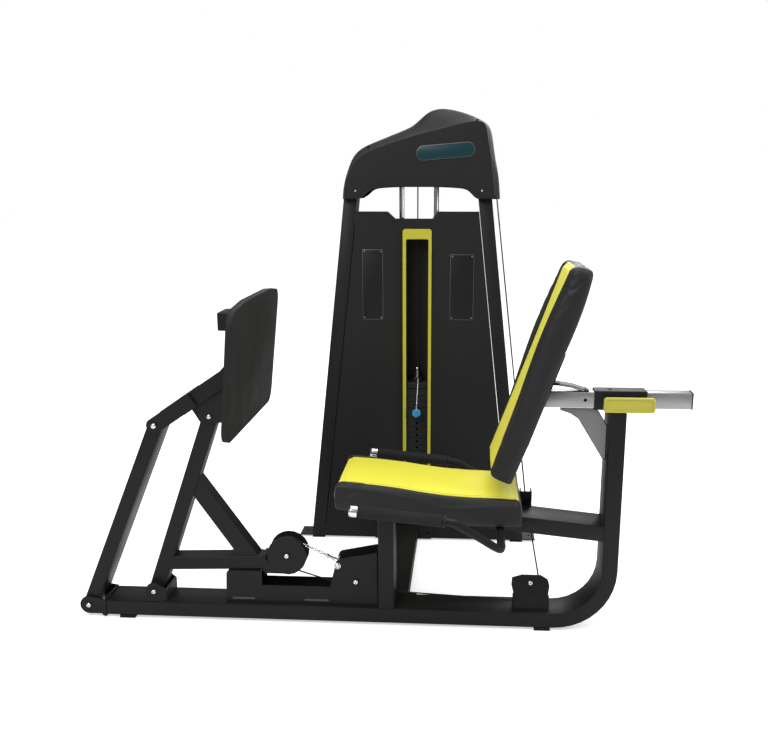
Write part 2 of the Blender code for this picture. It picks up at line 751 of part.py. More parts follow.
cable_line += wrap(floor_axis.location, east, up_lean, FLOOR_R + 0.0004, -90, 0, 9)
cable_line += [guide_point]
adjuster_share = 0.30
outer_right = Vector(outer_axis.location) + east * TOP_R
adjuster_point = guide_point + (outer_right - guide_point) * adjuster_share
cable_span = (outer_right - guide_point).normalized()
cable_line += [adjuster_point - cable_span * 0.0155]
node(wire("press_cable", cable_line, CABLE_R, 1), "press_cable", cable_black)

outer_up = Vector((0.0, math.sin(OUTER_LEAN), math.cos(OUTER_LEAN)))
tower_line = [adjuster_point + cable_span * 0.0155]
tower_line += wrap(outer_axis.location, east, outer_up, TOP_R, 0, 90, 7)
tower_line += wrap(inner_axis.location, east, top, TOP_R, 90, 180, 7)
node(wire("tower_cable", tower_line, CABLE_R, 1), "tower_cable", cable_black)

fitting = turned(
    "fitting",
    [(0.0, 0.015), (0.0055, 0.015), (0.0065, 0.010), (0.0065, -0.010), (0.0055, -0.015), (0.0, -0.015)],
    adjuster_point,
    cable_span,
    12,
)
node(fitting, "cable_adjuster", material("zinc", (0.55, 0.55, 0.56), 0.35, 1.0))

stack_cable = rod("stack_cable", (STEM_X, STACK_Y, 0.7003), (STEM_X, STACK_Y, 1.4445), CABLE_R, 8)
node(stack_cable, "stack_cable", cable_black, stack_slide)

tail = (anchor_point - arm_round[0]).normalized()
anchor_body = rod("anchor_body", first_point + tail * GAP, anchor_point - tail * 0.006, 0.0060, 12)
anchor_pin = rod("anchor_pin", anchor_point - Vector((0, 0.0480, 0)), anchor_point + Vector((0, 0.0480, 0)), 0.0068, 16)
anchor_near = rod("anchor_near", anchor_point - Vector((0, 0.0480, 0)), anchor_point - Vector((0, 0.0403, 0)), 0.011, 16)
anchor_far = rod("anchor_far", anchor_point + Vector((0, 0.0403, 0)), anchor_point + Vector((0, 0.0480, 0)), 0.011, 16)
join(anchor_body, anchor_pin, anchor_near, anchor_far)
node(anchor_body, "cable_anchor", bright)

# ---------------------------------------------------------------- tower


def tower_half(z):
    return TOWER_HALF - (z - 0.006) * TOWER_SLOPE


def upright_outline(side, inset, low, high):
    outer_low = TOWER_X + side * (tower_half(low) - inset)
    outer_high = TOWER_X + side * (tower_half(high) - inset)
    inner_low = outer_low - side * (0.050 - 2 * inset)
    inner_high = outer_high - side * (0.050 - 2 * inset)
    return [(outer_low, low), (inner_low, low), (inner_high, high), (outer_high, high)]


tower = slab("tower_left", upright_outline(-1, 0.0, 0.006, 1.402), TOWER_FRONT, TOWER_BACK)
rounded(tower, 0.003, 2)
tower_right = rounded(slab("tower_right", upright_outline(1, 0.0, 0.006, 1.402), TOWER_FRONT, TOWER_BACK), 0.003, 2)
base_beam = box("base_beam", TOWER_X - 0.400, TOWER_X + 0.400, TOWER_FRONT + 0.001, TOWER_BACK - 0.001, 0.0070, 0.056)
tabs = box("tabs", TOWER_X - 0.476, TOWER_X + 0.476, TOWER_FRONT + 0.004, TOWER_BACK - 0.010, 0.0065, 0.0115)
join(tower, tower_right, base_beam, tabs)
cut(
    tower,
    slab("left_bore", upright_outline(-1, WALL, 0.000, 1.450), TOWER_FRONT + WALL, TOWER_BACK - WALL),
    slab("right_bore", upright_outline(1, WALL, 0.000, 1.450), TOWER_FRONT + WALL, TOWER_BACK - WALL),
    box("base_bore", TOWER_X - 0.400, TOWER_X + 0.400, TOWER_FRONT + 0.0045, TOWER_BACK - 0.0045, 0.0125, 0.053),
    rod("tab_hole_left", (TOWER_X - 0.453, 0.735, 0.0), (TOWER_X - 0.453, 0.735, 0.02), 0.006, 12),
    rod("tab_hole_right", (TOWER_X + 0.453, 0.735, 0.0), (TOWER_X + 0.453, 0.735, 0.02), 0.006, 12),
)
HEAD_HALF = 0.2285
head_x = (TOWER_X - HEAD_HALF, TOWER_X + HEAD_HALF)
head_beam = box("head_beam", *head_x, STACK_Y - 0.035, STACK_Y - 0.015, 1.3895, 1.4080)
rear_beam = box("rear_beam", *head_x, STACK_Y + 0.015, STACK_Y + 0.035, 1.3895, 1.4295)
head_plate = box("head_plate", 0.015, 0.190, STACK_Y - 0.030, STACK_Y + 0.030, 1.3903, 1.3963)
inner_x = inner_axis.location.x
hanger = box("hanger", inner_x - 0.020, inner_x + 0.020, STACK_Y + 0.0160, STACK_Y + 0.0210, 1.394, 1.465)
inner_pin = rod("inner_pin", (inner_x, STACK_Y - 0.014, 1.445), (inner_x, STACK_Y + 0.018, 1.445), 0.0078, 16)
outer_place = Vector(outer_axis.location)
outer_pin = rod("outer_pin", outer_place - outer_normal * 0.013, outer_place + outer_normal * 0.0500, 0.0078, 16)
outer_post = box("outer_post", 0.300, 0.362, STACK_Y + 0.0165, STACK_Y + 0.0225, 1.393, 1.470)
join(tower, head_beam, rear_beam, head_plate, hanger, inner_pin, outer_post, outer_pin)
cut(tower, rod("cable_pass", (STEM_X, STACK_Y, 1.38), (STEM_X, STACK_Y, 1.43), 0.012, 12))
node(weldment(tower), "tower_frame", material("tower_black", BLACK, 0.42))

SHROUD_LOW = 0.0565


def between_uprights(z, play=0.002):
    return tower_half(z) - 0.050 - play


def shroud_side(low, high):
    return [
        (TOWER_X - between_uprights(low), low),
        (TOWER_X + between_uprights(low), low),
        (TOWER_X + between_uprights(high), high),
        (TOWER_X - between_uprights(high), high),
    ]


front_section = [
    (-0.300, 0.6915),
    (-0.010, 0.6915),
    (0.018, 0.7010),
    (0.181, 0.7010),
    (0.213, 0.6915),
    (0.520, 0.6915),
    (0.520, 0.6945),
    (0.214, 0.6945),
    (0.182, 0.7040),
    (0.017, 0.7040),
    (-0.011, 0.6945),
    (-0.300, 0.6945),
]
front_shroud = plan("front_sheet", front_section, 0.040, 1.320)
trapezoid = slab("front_trapezoid", shroud_side(SHROUD_LOW, 1.300), 0.60, 0.76)
boolean(front_shroud, trapezoid, "INTERSECT")
cut(
    front_shroud,
    slab("window", rectangle(0.0560, 0.1400, 0.150, 1.198), 0.60, 0.76),
    slab("notch", [(-0.022, 1.310), (0.016, 1.274), (0.154, 1.274), (0.184, 1.310)], 0.60, 0.76),
)
node(front_shroud, "front_shroud", material("shroud_black", BLACK, 0.45))

rear_shroud = slab("rear_sheet", shroud_side(SHROUD_LOW, 1.262), 0.7858, 0.7888)
ribs = [
    slab("rib", rectangle(x - 0.004, x + 0.004, 0.10, 1.24), 0.7870, 0.7918)
    for x in (TOWER_X - 0.12, TOWER_X + 0.12)
]
join(rear_shroud, *ribs)
node(rear_shroud, "rear_shroud", material("rear_shroud_black", BLACK, 0.45))

trim = slab(
    "trim",
    fillet(rectangle(0.0430, 0.1520, 0.118, 1.236), 0.010, 3),
    0.6920,
    0.7007,
    holes=(fillet(rectangle(0.0560, 0.1400, 0.150, 1.198), 0.006, 3),),
)
node(rounded(trim, 0.002, 1, 60), "slot_trim", material("trim_olive", (0.38, 0.36, 0.05), 0.45))

cap_outline = [
    (-0.184, 1.345),
    (-0.180, 1.395),
    (-0.156, 1.472),
    (-0.133, 1.515),
    (-0.084, 1.543),
    (0.069, 1.600),
    (0.100, 1.625),
    (0.124, 1.650),
    (0.153, 1.665),
    (0.186, 1.670),
    (0.223, 1.665),
    (0.289, 1.647),
    (0.347, 1.619),
    (0.366, 1.604),
    (0.383, 1.495),
    (0.397, 1.438),
    (0.405, 1.345),
]
face_outline = [
    (-0.171, 1.345),
    (-0.163, 1.413),
    (-0.138, 1.466),
    (-0.116, 1.494),
    (-0.075, 1.520),
    (0.081, 1.567),
    (0.300, 1.619),
    (0.345, 1.612),
    (0.372, 1.465),
    (0.385, 1.345),
]
arch_outline = [
    (-0.118, 1.300),
    (-0.118, 1.346),
    (-0.099, 1.356),
    (-0.073, 1.379),
    (0.045, 1.388),
    (0.169, 1.388),
    (0.278, 1.380),
    (0.322, 1.346),
    (0.322, 1.300),
]


def shrunk(outline, scale_x, scale_z, drop):
    """The outline drawn in towards the middle of the cap, its open foot run down by drop."""
    middle = 0.1105
    found = []
    for x, z in outline:
        low = z < 1.346
        found.append((middle + (x - middle) * scale_x, z - drop if low else 1.345 + (z - 1.345) * scale_z))
    return found


cap_front = slab("cap_front_body", cap_outline, 0.672, 0.7497)
face = slab("cap_face", face_outline, 0.655, 0.676)
join(cap_front, face)
cut(
    cap_front,
    slab("front_hollow", shrunk(cap_outline, 0.985, 0.985, 0.02), 0.6755, 0.760),
    slab("face_hollow", shrunk(face_outline, 0.975, 0.985, 0.02), 0.659, 0.680),
    slab("front_arch", arch_outline, 0.60, 0.6755),
    box("cable_slot", 0.3858, 0.3958, 0.60, 0.6756, 1.33, 1.3740),
)
node(cap_front, "cap_front", material("cap_front_black", BLACK, 0.5))

cap_rear = slab("cap_rear_body", cap_outline, 0.7500, 0.828)
rear_face = slab("cap_rear_face", face_outline, 0.824, 0.842)
join(cap_rear, rear_face)
cut(
    cap_rear,
    slab("rear_hollow", shrunk(cap_outline, 0.985, 0.985, 0.02), 0.740, 0.8245),
    slab("rear_face_hollow", shrunk(face_outline, 0.975, 0.985, 0.02), 0.820, 0.838),
    slab("rear_arch", arch_outline, 0.8245, 0.90),
)
node(cap_rear, "cap_rear", material("cap_rear_black", BLACK, 0.5))

# ---------------------------------------------------------------- weight stack
chrome = material("rod_chrome", (0.72, 0.72, 0.73), 0.18, 1.0)
for x, name in zip(RODS, ("guide_rod_left", "guide_rod_right")):
    node(rod("guide_rod", (x, STACK_Y, 0.0563), (x, STACK_Y, 1.3900), 0.00975, 16), name, chrome)

bumper = box("bumper", RODS[0] - 0.026, RODS[1] + 0.026, STACK_Y - 0.026, STACK_Y + 0.026, 0.0963, 0.1447)
legs = [rod("bumper_leg", (x, STACK_Y, 0.0563), (x, STACK_Y, 0.100), 0.020, 16) for x in RODS]
join(bumper, *legs)
cut(bumper, *[rod("bumper_hole", (x, STACK_Y, 0.04), (x, STACK_Y, 0.16), 0.0105, 16) for x in RODS])
node(bumper, "stack_bumper", material("bumper_rubber", (0.015, 0.015, 0.015), 0.8))


def plate_block(name, low, high, count):
    """Plates that stay together, parted by shallow grooves, with rod holes, stem hole and pin holes."""
    half_depth = 0.036
    block = box(name, STEM_X + 0.0048 - 0.115, STEM_X + 0.0048 + 0.115, STACK_Y - half_depth, STACK_Y + half_depth, low, high)
    for index in range(1, count):
        z = low + (high - low) * index / count
        groove = box("groove", -0.2, 0.4, STACK_Y - 0.1, STACK_Y - half_depth + 0.003, z - 0.0008, z + 0.0008)
        cut(block, groove)
    for x in RODS:
        cut(block, rod("rod_hole", (x, STACK_Y, low - 0.01), (x, STACK_Y, high + 0.01), 0.0108, 16))
    cut(block, rod("stem_hole", (STEM_X, STACK_Y, low - 0.01), (STEM_X, STACK_Y, high + 0.01), 0.0120, 16))
    for index in range(count):
        z = low + (high - low) * (index + 0.5) / count
        cut(block, rod("pin_hole", (STEM_X, STACK_Y - 0.05, z), (STEM_X, STACK_Y, z), 0.0058, 6))
    return block


cast = material("stack_iron", (0.03, 0.03, 0.031), 0.5)
pin_z = 0.5325
node(plate_block("resting", 0.1450, 0.5197, 15), "resting_plates", cast)
node(plate_block("lifted", 0.5200, 0.6197, 4), "lifted_plates", cast, stack_slide)
header = box("header", STEM_X + 0.0048 - 0.115, STEM_X + 0.0048 + 0.115, STACK_Y - 0.036, STACK_Y + 0.036, 0.6200, STACK_TOP)
rounded(header, 0.003, 1)
collar = rod("header_collar", (STEM_X, STACK_Y, STACK_TOP - 0.002), (STEM_X, STACK_Y, STACK_TOP + 0.014), 0.020, 16)
join(header, collar)
cut(header, rod("stem_hole", (STEM_X, STACK_Y, 0.60), (STEM_X, STACK_Y, 0.68), 0.0120, 16))
for x in RODS:
    cut(header, rod("rod_hole", (x, STACK_Y, 0.60), (x, STACK_Y, 0.68), 0.0108, 16))
node(header, "header_plate", cast, stack_slide)

stem = turned(
    "stem",
    [(0.0, 0.7000), (0.007, 0.7000), (0.009, 0.6960), (0.009, 0.6750), (0.0110, 0.6700), (0.0110, 0.1600), (0.0, 0.1600)],
    (STEM_X, STACK_Y, 0.0),
    (0, 0, 1),
    16,
)
cut(stem, rod("stem_pin_hole", (STEM_X, STACK_Y - 0.02, pin_z), (STEM_X, STACK_Y + 0.02, pin_z), 0.0056, 12))
node(stem, "selector_stem", chrome, stack_slide)

pin = turned(
    "pin",
    [
        (0.0, 0.000),
        (0.0105, 0.0000),
        (0.0130, 0.0040),
        (0.0130, 0.0140),
        (0.0080, 0.0200),
        (0.0045, 0.0220),
        (0.0045, 0.0920),
        (0.0, 0.0920),
    ][::-1],
    (STEM_X, 0.6640, pin_z),
    (0, 1, 0),
    16,
)
node(pin, "selector_pin", material("pin_blue", (0.02, 0.10, 0.30), 0.35), stack_slide)

# ---------------------------------------------------------------- seat, handles and grips
seat_side = [
    (-0.1010, 0.5200),
    (-0.1070, 0.5080),
    (-0.1050, 0.4450),
    (-0.0920, 0.4300),
    (0.0500, 0.4040),
    (0.2200, 0.3900),
    (0.4000, 0.3850),
    (0.4560, 0.3860),
    (0.4660, 0.3960),
    (0.4660, 0.4600),
    (0.4560, 0.4690),
    (0.3500, 0.4760),
    (0.1500, 0.4970),
    (-0.0500, 0.5150),
]
seat = slab("seat", seat_side, -0.165, 0.165)
rounded(seat, 0.008, 2, 35)
groove = [(0.010, 0.30), (0.60, 0.30), (0.60, beam_top(0.60) + 0.001), (0.010, beam_top(0.010) + 0.001)]
cut(seat, slab("seat_groove", groove, -0.0635, 0.0635))
node(seat, "seat_cushion", material("seat_yellow", YELLOW, 0.6))


def smooth_path(points, radius, steps=4):
    """The open path with each inner corner turned on the radius, as far as its sides allow."""
    places = [Vector(point) for point in points]
    found = [places[0]]
    for before, corner, after in zip(places, places[1:], places[2:]):
        back = (before - corner)
        ahead = (after - corner)
        half = back.angle(ahead) / 2
        reach = min(radius / math.tan(half), back.length * 0.48, ahead.length * 0.48)
        first = corner + back.normalized() * reach
        last = corner + ahead.normalized() * reach
        for step in range(steps + 1):
            share = step / steps
            low = first.lerp(corner, share)
            high = corner.lerp(last, share)
            found.append(low.lerp(high, share))
    found.append(places[-1])
    return found


HANDLE_Y = 0.297
grip_start = Vector((-0.0150, 0.0, 0.4797))
grip_end = Vector((0.2270, 0.0, 0.4563))
grip_dir = (grip_end - grip_start).normalized()
grip_black = material("grip_foam", (0.02, 0.02, 0.02), 0.8)
handle_black = material("handle_black", BLACK, 0.40)
for side, word in ((-1, "left"), (1, "right")):
    offset = Vector((0.0, side * HANDLE_Y, 0.0))
    ring_at = grip_end + offset
    path = [
        grip_start + offset - grip_dir * 0.002,
        ring_at + grip_dir * 0.012,
        Vector((0.2640, side * HANDLE_Y, 0.4500)),
        Vector((0.3080, side * HANDLE_Y, 0.4260)),
        Vector((0.4000, side * HANDLE_Y, 0.3690)),
        Vector((0.4000, side * (HALF + GAP), 0.3690)),
    ]
    handle = wire("handle", smooth_path(path, 0.030, 3), 0.0125, 2)
    collar = turned(
        "ring",
        [(0.0, 0.004), (0.0165, 0.004), (0.0180, 0.002), (0.0180, -0.002), (0.0165, -0.004), (0.0, -0.004)],
        ring_at + grip_dir * 0.0055,
        grip_dir,
        16,
    )
    join(handle, collar)
    node(handle, "handle_" + word, handle_black)
    length = (grip_end - grip_start).length
    sleeve = turned(
        "grip",
        [
            (0.0134, length),
            (0.0165, length),
            (0.0178, length - 0.003),
            (0.0178, 0.003),
            (0.0165, 0.0),
            (0.0134, 0.0),
        ],
        grip_start + offset,
        grip_dir,
        20,
        ring=True,
    )
    node(sleeve, "grip_" + word, grip_black)
    end_cap = turned(
        "cap",
        [(0.0, -0.0024), (0.0168, -0.0024), (0.0175, -0.006), (0.0175, -0.021), (0.0140, -0.0265), (0.0, -0.0275)],
        grip_start + offset,
        grip_dir,
        20,
    )
    node(end_cap, "handle_cap_" + word, bright)

# ---------------------------------------------------------------- backrest
up_back = Vector((math.sin(BACK_LEAN), 0.0, math.cos(BACK_LEAN)))
into_back = Vector((math.cos(BACK_LEAN), 0.0, -math.sin(BACK_LEAN)))
back_low = Vector((0.3640, 0.0, 0.5380))  # lower front edge of the cushion
BACK_DEEP = 0.078
BACK_LONG = 0.680


def back_frame(depth):
    """Local X across, local Y up the cushion, through a plane this deep behind its front face."""
    across = Vector((0, 1, 0))
    frame = Matrix((across, up_back, across.cross(up_back))).transposed().to_4x4()
    return Matrix.Translation(back_low + into_back * depth) @ frame


cushion = sheet(
    "cushion",
    fillet(rectangle(-0.150, 0.150, 0.0, BACK_LONG), 0.035, 4),
    BACK_DEEP,
    back_frame(BACK_DEEP / 2),
)
rounded(cushion, 0.012, 2, 60)
node(cushion, "back_cushion", material("back_yellow", YELLOW, 0.6), backrest_slide)


def on_back(depth, up):
    place = back_low + into_back * depth + up_back * up
    return (place.x, place.z)


mount_front = BACK_DEEP + GAP
mount = sheet(
    "mount",
    fillet(rectangle(-0.070, 0.070, 0.110, 0.420), 0.010, 2),
    0.005,
    back_frame(mount_front + 0.0025),
)
tube_low = 0.732
tube_high = 0.782
upper_strap = slab(
    "upper_strap",
    [
        on_back(0.0800, 0.3080),
        (0.5720, 0.8000),
        (0.6120, 0.7940),
        (0.6400, 0.7860),
        (0.6500, tube_high + GAP),
        (0.6640, tube_high + GAP),
        (0.6640, 0.7860),
        (0.6540, 0.7890),
        (0.6140, 0.8005),
        (0.5740, 0.8065),
        on_back(0.0800, 0.3215),
    ],
    -0.020,
    0.020,
)
join(mount, upper_strap)
node(mount, "backrest_mount", material("mount_black", BLACK, 0.45), backrest_slide)


def behind_mount(z):
    """x where the tube's slanted front end clears the mounting plate."""
    return back_low.x + (mount_front + 0.0053 + 0.001) / math.cos(BACK_LEAN) + (z - back_low.z) * math.tan(BACK_LEAN)


TUBE_END = 0.9747
tube = slab(
    "adjuster_tube",
    [(behind_mount(tube_low), tube_low), (TUBE_END, tube_low), (TUBE_END, tube_high), (behind_mount(tube_high), tube_high)],
    -0.025,
    0.025,
)
rounded(tube, 0.003, 2)
cut(tube, box("tube_bore", 0.40, 1.10, -0.022, 0.022, tube_low + WALL, tube_high - WALL))
for index in range(1, 5):
    cut(tube, drill((0.6035 + 0.05 * index, 0.757), 0.0054, -0.04, 0.0, 8))
node(tube, "backrest_tube", material("tube_silver", (0.60, 0.60, 0.61), 0.3, 1.0), backrest_slide)

plug = box("plug", TUBE_END + GAP, 0.9770, -0.026, 0.026, tube_low - 0.001, tube_high + 0.001)
stub = box("stub", TUBE_END - 0.015, 0.9760, -0.0215, 0.0215, tube_low + WALL + 0.0005, tube_high - WALL - 0.0005)
join(plug, stub)
node(plug, "tube_end_cap", material("plug_black", (0.02, 0.02, 0.02), 0.6), backrest_slide)

sleeve = box("sleeve", 0.680, 0.839, -0.030, 0.030, UPRIGHT_TOP + GAP, 0.787)
rounded(sleeve, 0.003, 2)
cut(
    sleeve,
    box("sleeve_bore", 0.60, 0.90, -0.0258, 0.0258, tube_low - 0.0008, tube_high + 0.0008),
    rod("sleeve_hole", (0.728, 0.0, 0.77), (0.728, 0.0, 0.80), 0.0075, 16),
    drill((0.7535, 0.757), 0.0062, -0.05, -0.01, 12),
)
ear_low = slab("lever_ear", [(0.820, 0.742), (0.838, 0.742), (0.852, 0.746), (0.852, 0.7565), (0.838, 0.7605), (0.820, 0.7605)],
               -0.0400, -0.0290)
join(sleeve, ear_low)
cut(sleeve, rod("ear_hole", (0.842, -0.0346, 0.73), (0.842, -0.0346, 0.78), 0.0030, 10))
node(sleeve, "backrest_sleeve", material("sleeve_black", BLACK, 0.42))

paddle = slab("paddle", fillet(rectangle(0.7045, 0.8590, 0.7270, 0.7735), 0.010, 3), -0.0640, -0.0520)
rounded(paddle, 0.002, 1, 60)
lug_high = box("lug_high", 0.836, 0.848, -0.0530, -0.0312, 0.7612, 0.7660)
lug_low = box("lug_low", 0.836, 0.848, -0.0530, -0.0312, 0.7368, 0.7412)
lever_pin = rod("lever_pin", (0.842, -0.0346, 0.7380), (0.842, -0.0346, 0.7650), 0.0024, 10)
join(paddle, lug_high, lug_low, lever_pin)
node(paddle, "lock_lever", material("lever_yellow", (0.72, 0.68, 0.10), 0.45), lever_hinge)

lock_pin = rod("lock_pin", (0.7535, -0.0510, 0.757), (0.7535, -0.0256, 0.757), 0.0048, 12)
node(lock_pin, "lock_pin", material("pin_steel", (0.6, 0.6, 0.61), 0.3, 1.0))
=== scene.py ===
"""Looks for the leg press: materials, cushions, cables, covers, fittings, camera and light."""

import json
import math

import bmesh
import bpy
import numpy as np
from mathutils import Matrix, Vector
from mathutils.bvhtree import BVHTree


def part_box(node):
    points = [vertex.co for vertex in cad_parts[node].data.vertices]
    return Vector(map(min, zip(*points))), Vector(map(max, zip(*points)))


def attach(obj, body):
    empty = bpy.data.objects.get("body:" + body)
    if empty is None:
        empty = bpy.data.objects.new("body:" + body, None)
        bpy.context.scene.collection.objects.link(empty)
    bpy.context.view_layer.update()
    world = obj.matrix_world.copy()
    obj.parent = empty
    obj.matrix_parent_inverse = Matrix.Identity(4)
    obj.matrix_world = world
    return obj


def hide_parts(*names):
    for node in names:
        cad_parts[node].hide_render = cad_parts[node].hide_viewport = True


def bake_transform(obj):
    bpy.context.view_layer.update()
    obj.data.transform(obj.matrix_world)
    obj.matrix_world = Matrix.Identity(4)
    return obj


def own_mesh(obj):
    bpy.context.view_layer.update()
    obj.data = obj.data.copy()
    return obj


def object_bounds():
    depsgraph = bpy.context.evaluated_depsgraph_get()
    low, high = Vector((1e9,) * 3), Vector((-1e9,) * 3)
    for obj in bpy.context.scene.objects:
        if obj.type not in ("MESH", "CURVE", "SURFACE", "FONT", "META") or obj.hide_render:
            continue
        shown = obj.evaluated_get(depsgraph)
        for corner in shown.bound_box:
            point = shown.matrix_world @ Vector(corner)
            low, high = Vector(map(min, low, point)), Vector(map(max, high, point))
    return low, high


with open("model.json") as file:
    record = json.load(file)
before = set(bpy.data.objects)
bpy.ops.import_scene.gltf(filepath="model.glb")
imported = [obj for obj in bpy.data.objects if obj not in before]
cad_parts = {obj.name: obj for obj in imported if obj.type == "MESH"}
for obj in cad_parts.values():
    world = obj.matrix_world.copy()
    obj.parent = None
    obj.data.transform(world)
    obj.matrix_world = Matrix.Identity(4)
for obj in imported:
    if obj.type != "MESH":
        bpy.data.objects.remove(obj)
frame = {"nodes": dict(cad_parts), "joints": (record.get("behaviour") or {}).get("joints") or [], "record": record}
cad_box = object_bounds()
nodes = frame["nodes"]
joints = {joint["name"]: joint for joint in frame["joints"]}
rail_low, rail_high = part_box("main_frame")
MID_Y = (rail_low.y + rail_high.y) / 2  # the middle plane of rail, seat and press arm
stack_low, stack_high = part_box("header_plate")
STACK_Y = (stack_low.y + stack_high.y) / 2
GAP = 0.0004
FRONT, REAR = Vector((0, -1, 0)), Vector((0, 1, 0))


def at(x, y, z):
    """A point given by its distance from the rail's middle plane."""
    return Vector((x, y + MID_Y, z))


# ---------------------------------------------------------------- materials
class Shader:
    """A node tree under construction: each call adds a node and returns it."""

    def __init__(self, name):
        self.material = bpy.data.materials.new(name)
        self.material.use_nodes = True
        self.tree = self.material.node_tree
        self.main = self.tree.nodes["Principled BSDF"]
        self.place = self.add("ShaderNodeTexCoord").outputs["Object"]

    def add(self, kind, settings=(), **values):
        made = self.tree.nodes.new(kind)
        for key, value in dict(settings).items():
            setattr(made, key, value)
        self.give(made, **values)
        return made

    def give(self, node, **values):
        for key, value in values.items():
            self.put(node.inputs[key.replace("_", " ")], value)

    def put(self, socket, value):
        if isinstance(value, bpy.types.NodeSocket):
            self.tree.links.new(value, socket)
        else:
            socket.default_value = value

    def maths(self, operation, first, second=0.0, third=0.0, clamp=False):
        made = self.tree.nodes.new("ShaderNodeMath")
        made.operation = operation
        made.use_clamp = clamp
        for socket, value in zip(made.inputs, (first, second, third)):
            self.put(socket, value)
        return made.outputs[0]

    def spread(self, value, low, high, out_low, out_high):
        """The value mapped from one range to another, clamped."""
        made = self.add("ShaderNodeMapRange")
        for socket, number in zip(made.inputs, (value, low, high, out_low, out_high)):
            self.put(socket, number)
        return made.outputs[0]

    def noise(self, scale, detail=2.0, stretch=None, roughness=0.5):
        place = self.place
        if stretch:
            place = self.add("ShaderNodeMapping", Vector=place, Scale=stretch).outputs[0]
        made = self.add("ShaderNodeTexNoise", Vector=place, Scale=scale, Detail=detail, Roughness=roughness)
        return made.outputs[0]

    def cells(self, scale, feature="F1"):
        made = self.add("ShaderNodeTexVoronoi", {"feature": feature}, Vector=self.place, Scale=scale)
        return made.outputs["Distance"]

    def blend(self, share, first, second):
        made = self.add("ShaderNodeMix", {"data_type": "RGBA"})
        self.put(made.inputs[0], share)
        self.put(made.inputs[6], first)
        self.put(made.inputs[7], second)
        return made.outputs[2]

    def bump(self, height, distance, strength=1.0, normal=None):
        made = self.add("ShaderNodeBump", Height=height, Distance=distance, Strength=strength)
        if normal:
            self.put(made.inputs["Normal"], normal)
        return made.outputs[0]


def rgb(colour, scale=1.0):
    return (colour[0] * scale, colour[1] * scale, colour[2] * scale, 1.0)


def coated(name, colour, rough, grain, depth, metal=0.0, edge=0.0012, edge_wear_and_highlight=0.35, vary=0.12, specular=0.17,
           streak=None, worn=None, coat=0.0, cells=None):
    """A hard surface: fine texture, uneven gloss, and softened edges lightened along them, by rubbing on most
    finishes and by a painted highlight on the cap.
    """
    shader = Shader(name)
    broad = shader.noise(5.0, 4.0)
    fine = shader.noise(grain, 3.0, streak)
    rounded = shader.add("ShaderNodeBevel", {"samples": 4}, Radius=edge).outputs[0]
    true = shader.add("ShaderNodeNewGeometry").outputs["Normal"]
    facing = shader.add("ShaderNodeVectorMath", {"operation": "DOT_PRODUCT"})
    shader.put(facing.inputs[0], rounded)
    shader.put(facing.inputs[1], true)
    # lighter tint along the softened edges: rubbing on most finishes, a painted highlight on the cap's rims and
    # crease
    rim = shader.spread(facing.outputs["Value"], 0.96, 0.75, 0.0, 1.0)
    edge_patches = shader.spread(shader.noise(70.0, 5.0), 0.42, 0.66, 0.0, 1.0)
    share = shader.maths("MULTIPLY", shader.maths("MULTIPLY", rim, edge_patches), edge_wear_and_highlight)
    tone = shader.blend(broad, rgb(colour, 1.0 - vary), rgb(colour, 1.0 + vary))
    speck = shader.blend(shader.spread(fine, 0.35, 0.7, 0.0, 0.5), tone, rgb(colour, 1.35))
    tint = worn or tuple(min(1.0, channel * 2.2 + 0.03) for channel in colour)
    paint = shader.blend(share, speck, rgb(tint))
    gloss = shader.spread(shader.noise(9.0, 5.0), 0.3, 0.7, rough - 0.06, rough + 0.07)
    uneven = shader.maths("ADD", gloss, shader.maths("MULTIPLY", share, 0.2), clamp=True)
    height = shader.maths("ADD", fine, shader.maths("MULTIPLY", shader.noise(260.0, 2.0), 1.4))
    if cells:
        height = shader.maths("ADD", height, shader.maths("MULTIPLY", shader.cells(cells), 2.2))
    shader.give(shader.main, Base_Color=paint, Roughness=uneven, Metallic=metal, Specular_IOR_Level=specular,
                Coat_Weight=coat, Coat_Roughness=0.15, Normal=shader.bump(height, depth, 1.0, rounded))
    return shader.material


def vinyl(name, panel, border):
    """Upholstery vinyl: pebbled grain, two colours split at the seam, painted thread shadow along it and faint
    creases darkened with painted shade.
    """
    shader = Shader(name)
    seam = shader.add("ShaderNodeAttribute", {"attribute_name": "seam"}).outputs["Fac"]
    pebble = shader.cells(1500.0, "SMOOTH_F1")
    pores = shader.noise(3200.0, 2.0)
    crease = shader.noise(38.0, 5.0, (1.0, 1.0, 1.0), 0.65)
    broad = shader.noise(4.0, 3.0)
    inside = shader.spread(seam, 0.0004, 0.0012, 0.0, 1.0)
    yellow = shader.blend(broad, rgb(panel, 0.95), rgb(panel, 1.04))
    # painted shade: the yellow darkens where the crease pattern runs
    yellow = shader.blend(shader.spread(crease, 0.5, 0.72, 0.0, 0.22), yellow, rgb(panel, 0.86))
    black = shader.blend(broad, rgb(border, 0.85), rgb(border, 1.2))
    colour = shader.blend(inside, black, yellow)
    shadow = shader.spread(shader.maths("ABSOLUTE", seam), 0.0, 0.0022, 0.85, 0.0)
    paint = shader.blend(shadow, colour, rgb((0.006, 0.006, 0.006)))
    gloss = shader.spread(shader.noise(14.0, 4.0), 0.3, 0.7, 0.4, 0.52)
    gloss = shader.maths("SUBTRACT", gloss, shader.maths("MULTIPLY", pebble, 0.06))
    height = shader.maths("ADD", pebble, shader.maths("MULTIPLY", pores, 0.35))
    height = shader.maths("ADD", height, shader.maths("MULTIPLY", crease, 1.2))
    shader.give(shader.main, Base_Color=paint, Roughness=gloss, Specular_IOR_Level=0.22, Sheen_Weight=0.06,
                Normal=shader.bump(height, 0.00022, 0.9))
    return shader.material


BLACK = (0.0115, 0.0115, 0.012)
YELLOW = (0.79, 0.735, 0.058)
